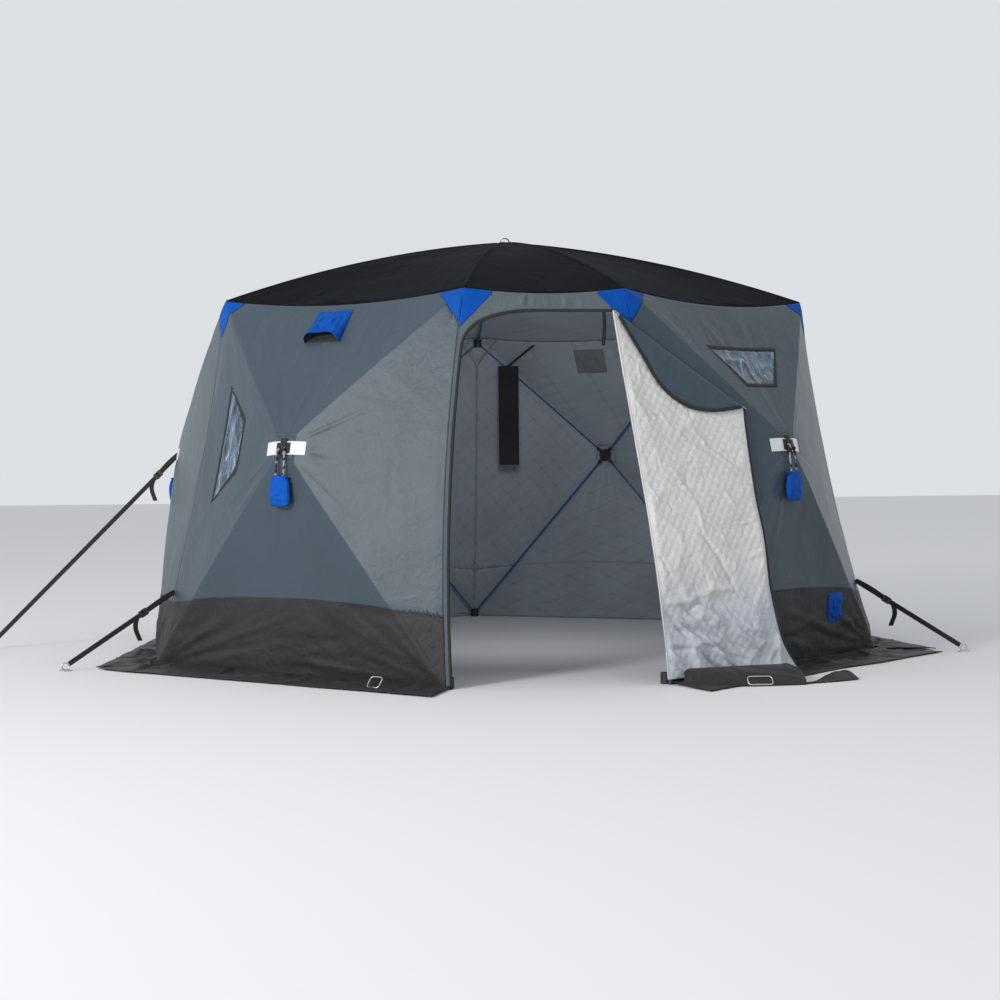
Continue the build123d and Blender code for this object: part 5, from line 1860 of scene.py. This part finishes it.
# Frame
FRAME_MATERIALS = {
    "wall_rods": ROD,
    "roof_rods": ROD,
    "wall_hubs": PLASTIC,
    "roof_hub": PLASTIC,
    "corner_cups": PLASTIC,
    "strap_buckles": PLASTIC,
    "ground_anchors": STEEL,
    "steel_links": STEEL,
}
for name, material in FRAME_MATERIALS.items():
    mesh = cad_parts[name].data
    mesh.materials.clear()
    mesh.materials.append(material)


# Camera and light
CAMERA_PLACE = np.array([-0.0398, -9.3124, 0.9297])
CAMERA_YAW = 0.1122
CAMERA_PITCH = -0.0071
CAMERA_ROLL = -0.0092
FOCAL_MM = 60.05
FLOOR_REACH = 60.0
FLOOR_TONE = (0.82, 0.82, 0.83, 1)
SKY_TONE = (0.93, 0.96, 1.0, 1)
SKY_STRENGTH = 0.66
BACKDROP_TONE = (0.72, 0.75, 0.78, 1)


def turned(angle, first, second):
    """Two directions turned towards each other by an angle."""
    cosine, sine = math.cos(angle), math.sin(angle)
    return first * cosine + second * sine, second * cosine - first * sine


def make_camera():
    data = bpy.data.cameras.new("camera")
    data.lens = FOCAL_MM
    data.sensor_width = 36.0
    data.shift_y = -0.01
    camera = bpy.data.objects.new("camera", data)
    bpy.context.scene.collection.objects.link(camera)
    yaw = np.array([
        [math.cos(CAMERA_YAW), math.sin(CAMERA_YAW), 0],
        [-math.sin(CAMERA_YAW), math.cos(CAMERA_YAW), 0],
        [0, 0, 1],
    ])
    forward, up = turned(CAMERA_PITCH, np.array([0, 1.0, 0]), UP)
    right, up = turned(CAMERA_ROLL, np.array([1.0, 0, 0]), up)
    columns = [yaw @ right, yaw @ up, -(yaw @ forward), yaw @ CAMERA_PLACE + AXIS]
    matrix = Matrix.Identity(4)
    for column, vector in enumerate(columns):
        for row in range(3):
            matrix[row][column] = float(vector[row])
    camera.matrix_world = matrix
    bpy.context.scene.camera = camera


def area_lamp(name, place, aim, size, power, colour=(1, 1, 1)):
    data = bpy.data.lights.new(name, "AREA")
    data.shape = "DISK"
    data.size = size
    data.energy = power
    data.color = colour
    lamp = bpy.data.objects.new(name, data)
    bpy.context.scene.collection.objects.link(lamp)
    lamp.location = place
    lamp.visible_camera = False
    lamp.rotation_euler = (Vector(aim) - Vector(place)).to_track_quat("-Z", "Y").to_euler()


def make_floor():
    mesh = bpy.data.meshes.new("floor")
    corners = [(-1, -1), (1, -1), (1, 1), (-1, 1)]
    mesh.from_pydata([(x * FLOOR_REACH, y * FLOOR_REACH, 0) for x, y in corners], [], [(0, 1, 2, 3)])
    floor = bpy.data.objects.new("floor", mesh)
    bpy.context.scene.collection.objects.link(floor)
    material, body = shader("floor_pale", 0.9)
    body.inputs["Base Color"].default_value = FLOOR_TONE
    mesh.materials.append(material)


def make_world():
    """Sky light, and a backdrop of its own that the camera, glossy and transmitted rays see."""
    world = bpy.data.worlds.new("world")
    bpy.context.scene.world = world
    world.use_nodes = True
    tree = world.node_tree
    sky = tree.nodes["Background"]
    backdrop = tree.nodes.new("ShaderNodeBackground")
    for background, tone, strength in ((sky, SKY_TONE, SKY_STRENGTH), (backdrop, BACKDROP_TONE, 1.0)):
        background.inputs["Color"].default_value = tone
        background.inputs["Strength"].default_value = strength
    path = tree.nodes.new("ShaderNodeLightPath")
    seen = path.outputs["Is Camera Ray"]
    for kind in ("Is Glossy Ray", "Is Transmission Ray"):
        either = tree.nodes.new("ShaderNodeMath")
        either.operation = "MAXIMUM"
        tree.links.new(seen, either.inputs[0])
        tree.links.new(path.outputs[kind], either.inputs[1])
        seen = either.outputs[0]
    choice = tree.nodes.new("ShaderNodeMixShader")
    tree.links.new(seen, choice.inputs["Fac"])
    tree.links.new(sky.outputs["Background"], choice.inputs[1])
    tree.links.new(backdrop.outputs["Background"], choice.inputs[2])
    tree.links.new(choice.outputs["Shader"], tree.nodes["World Output"].inputs["Surface"])


make_camera()
make_floor()
make_world()
area_lamp("key", place=(-9.0, -9.0, 5.3), aim=(0.3, -0.3, 0.9), size=3.0, power=1000,
          colour=(1.0, 0.98, 0.95))
area_lamp("room", place=(0.25, -1.0, 1.5), aim=(0.6, 1.4, 0.95), size=0.4, power=11)
bpy.context.scene.view_settings.view_transform = "Standard"
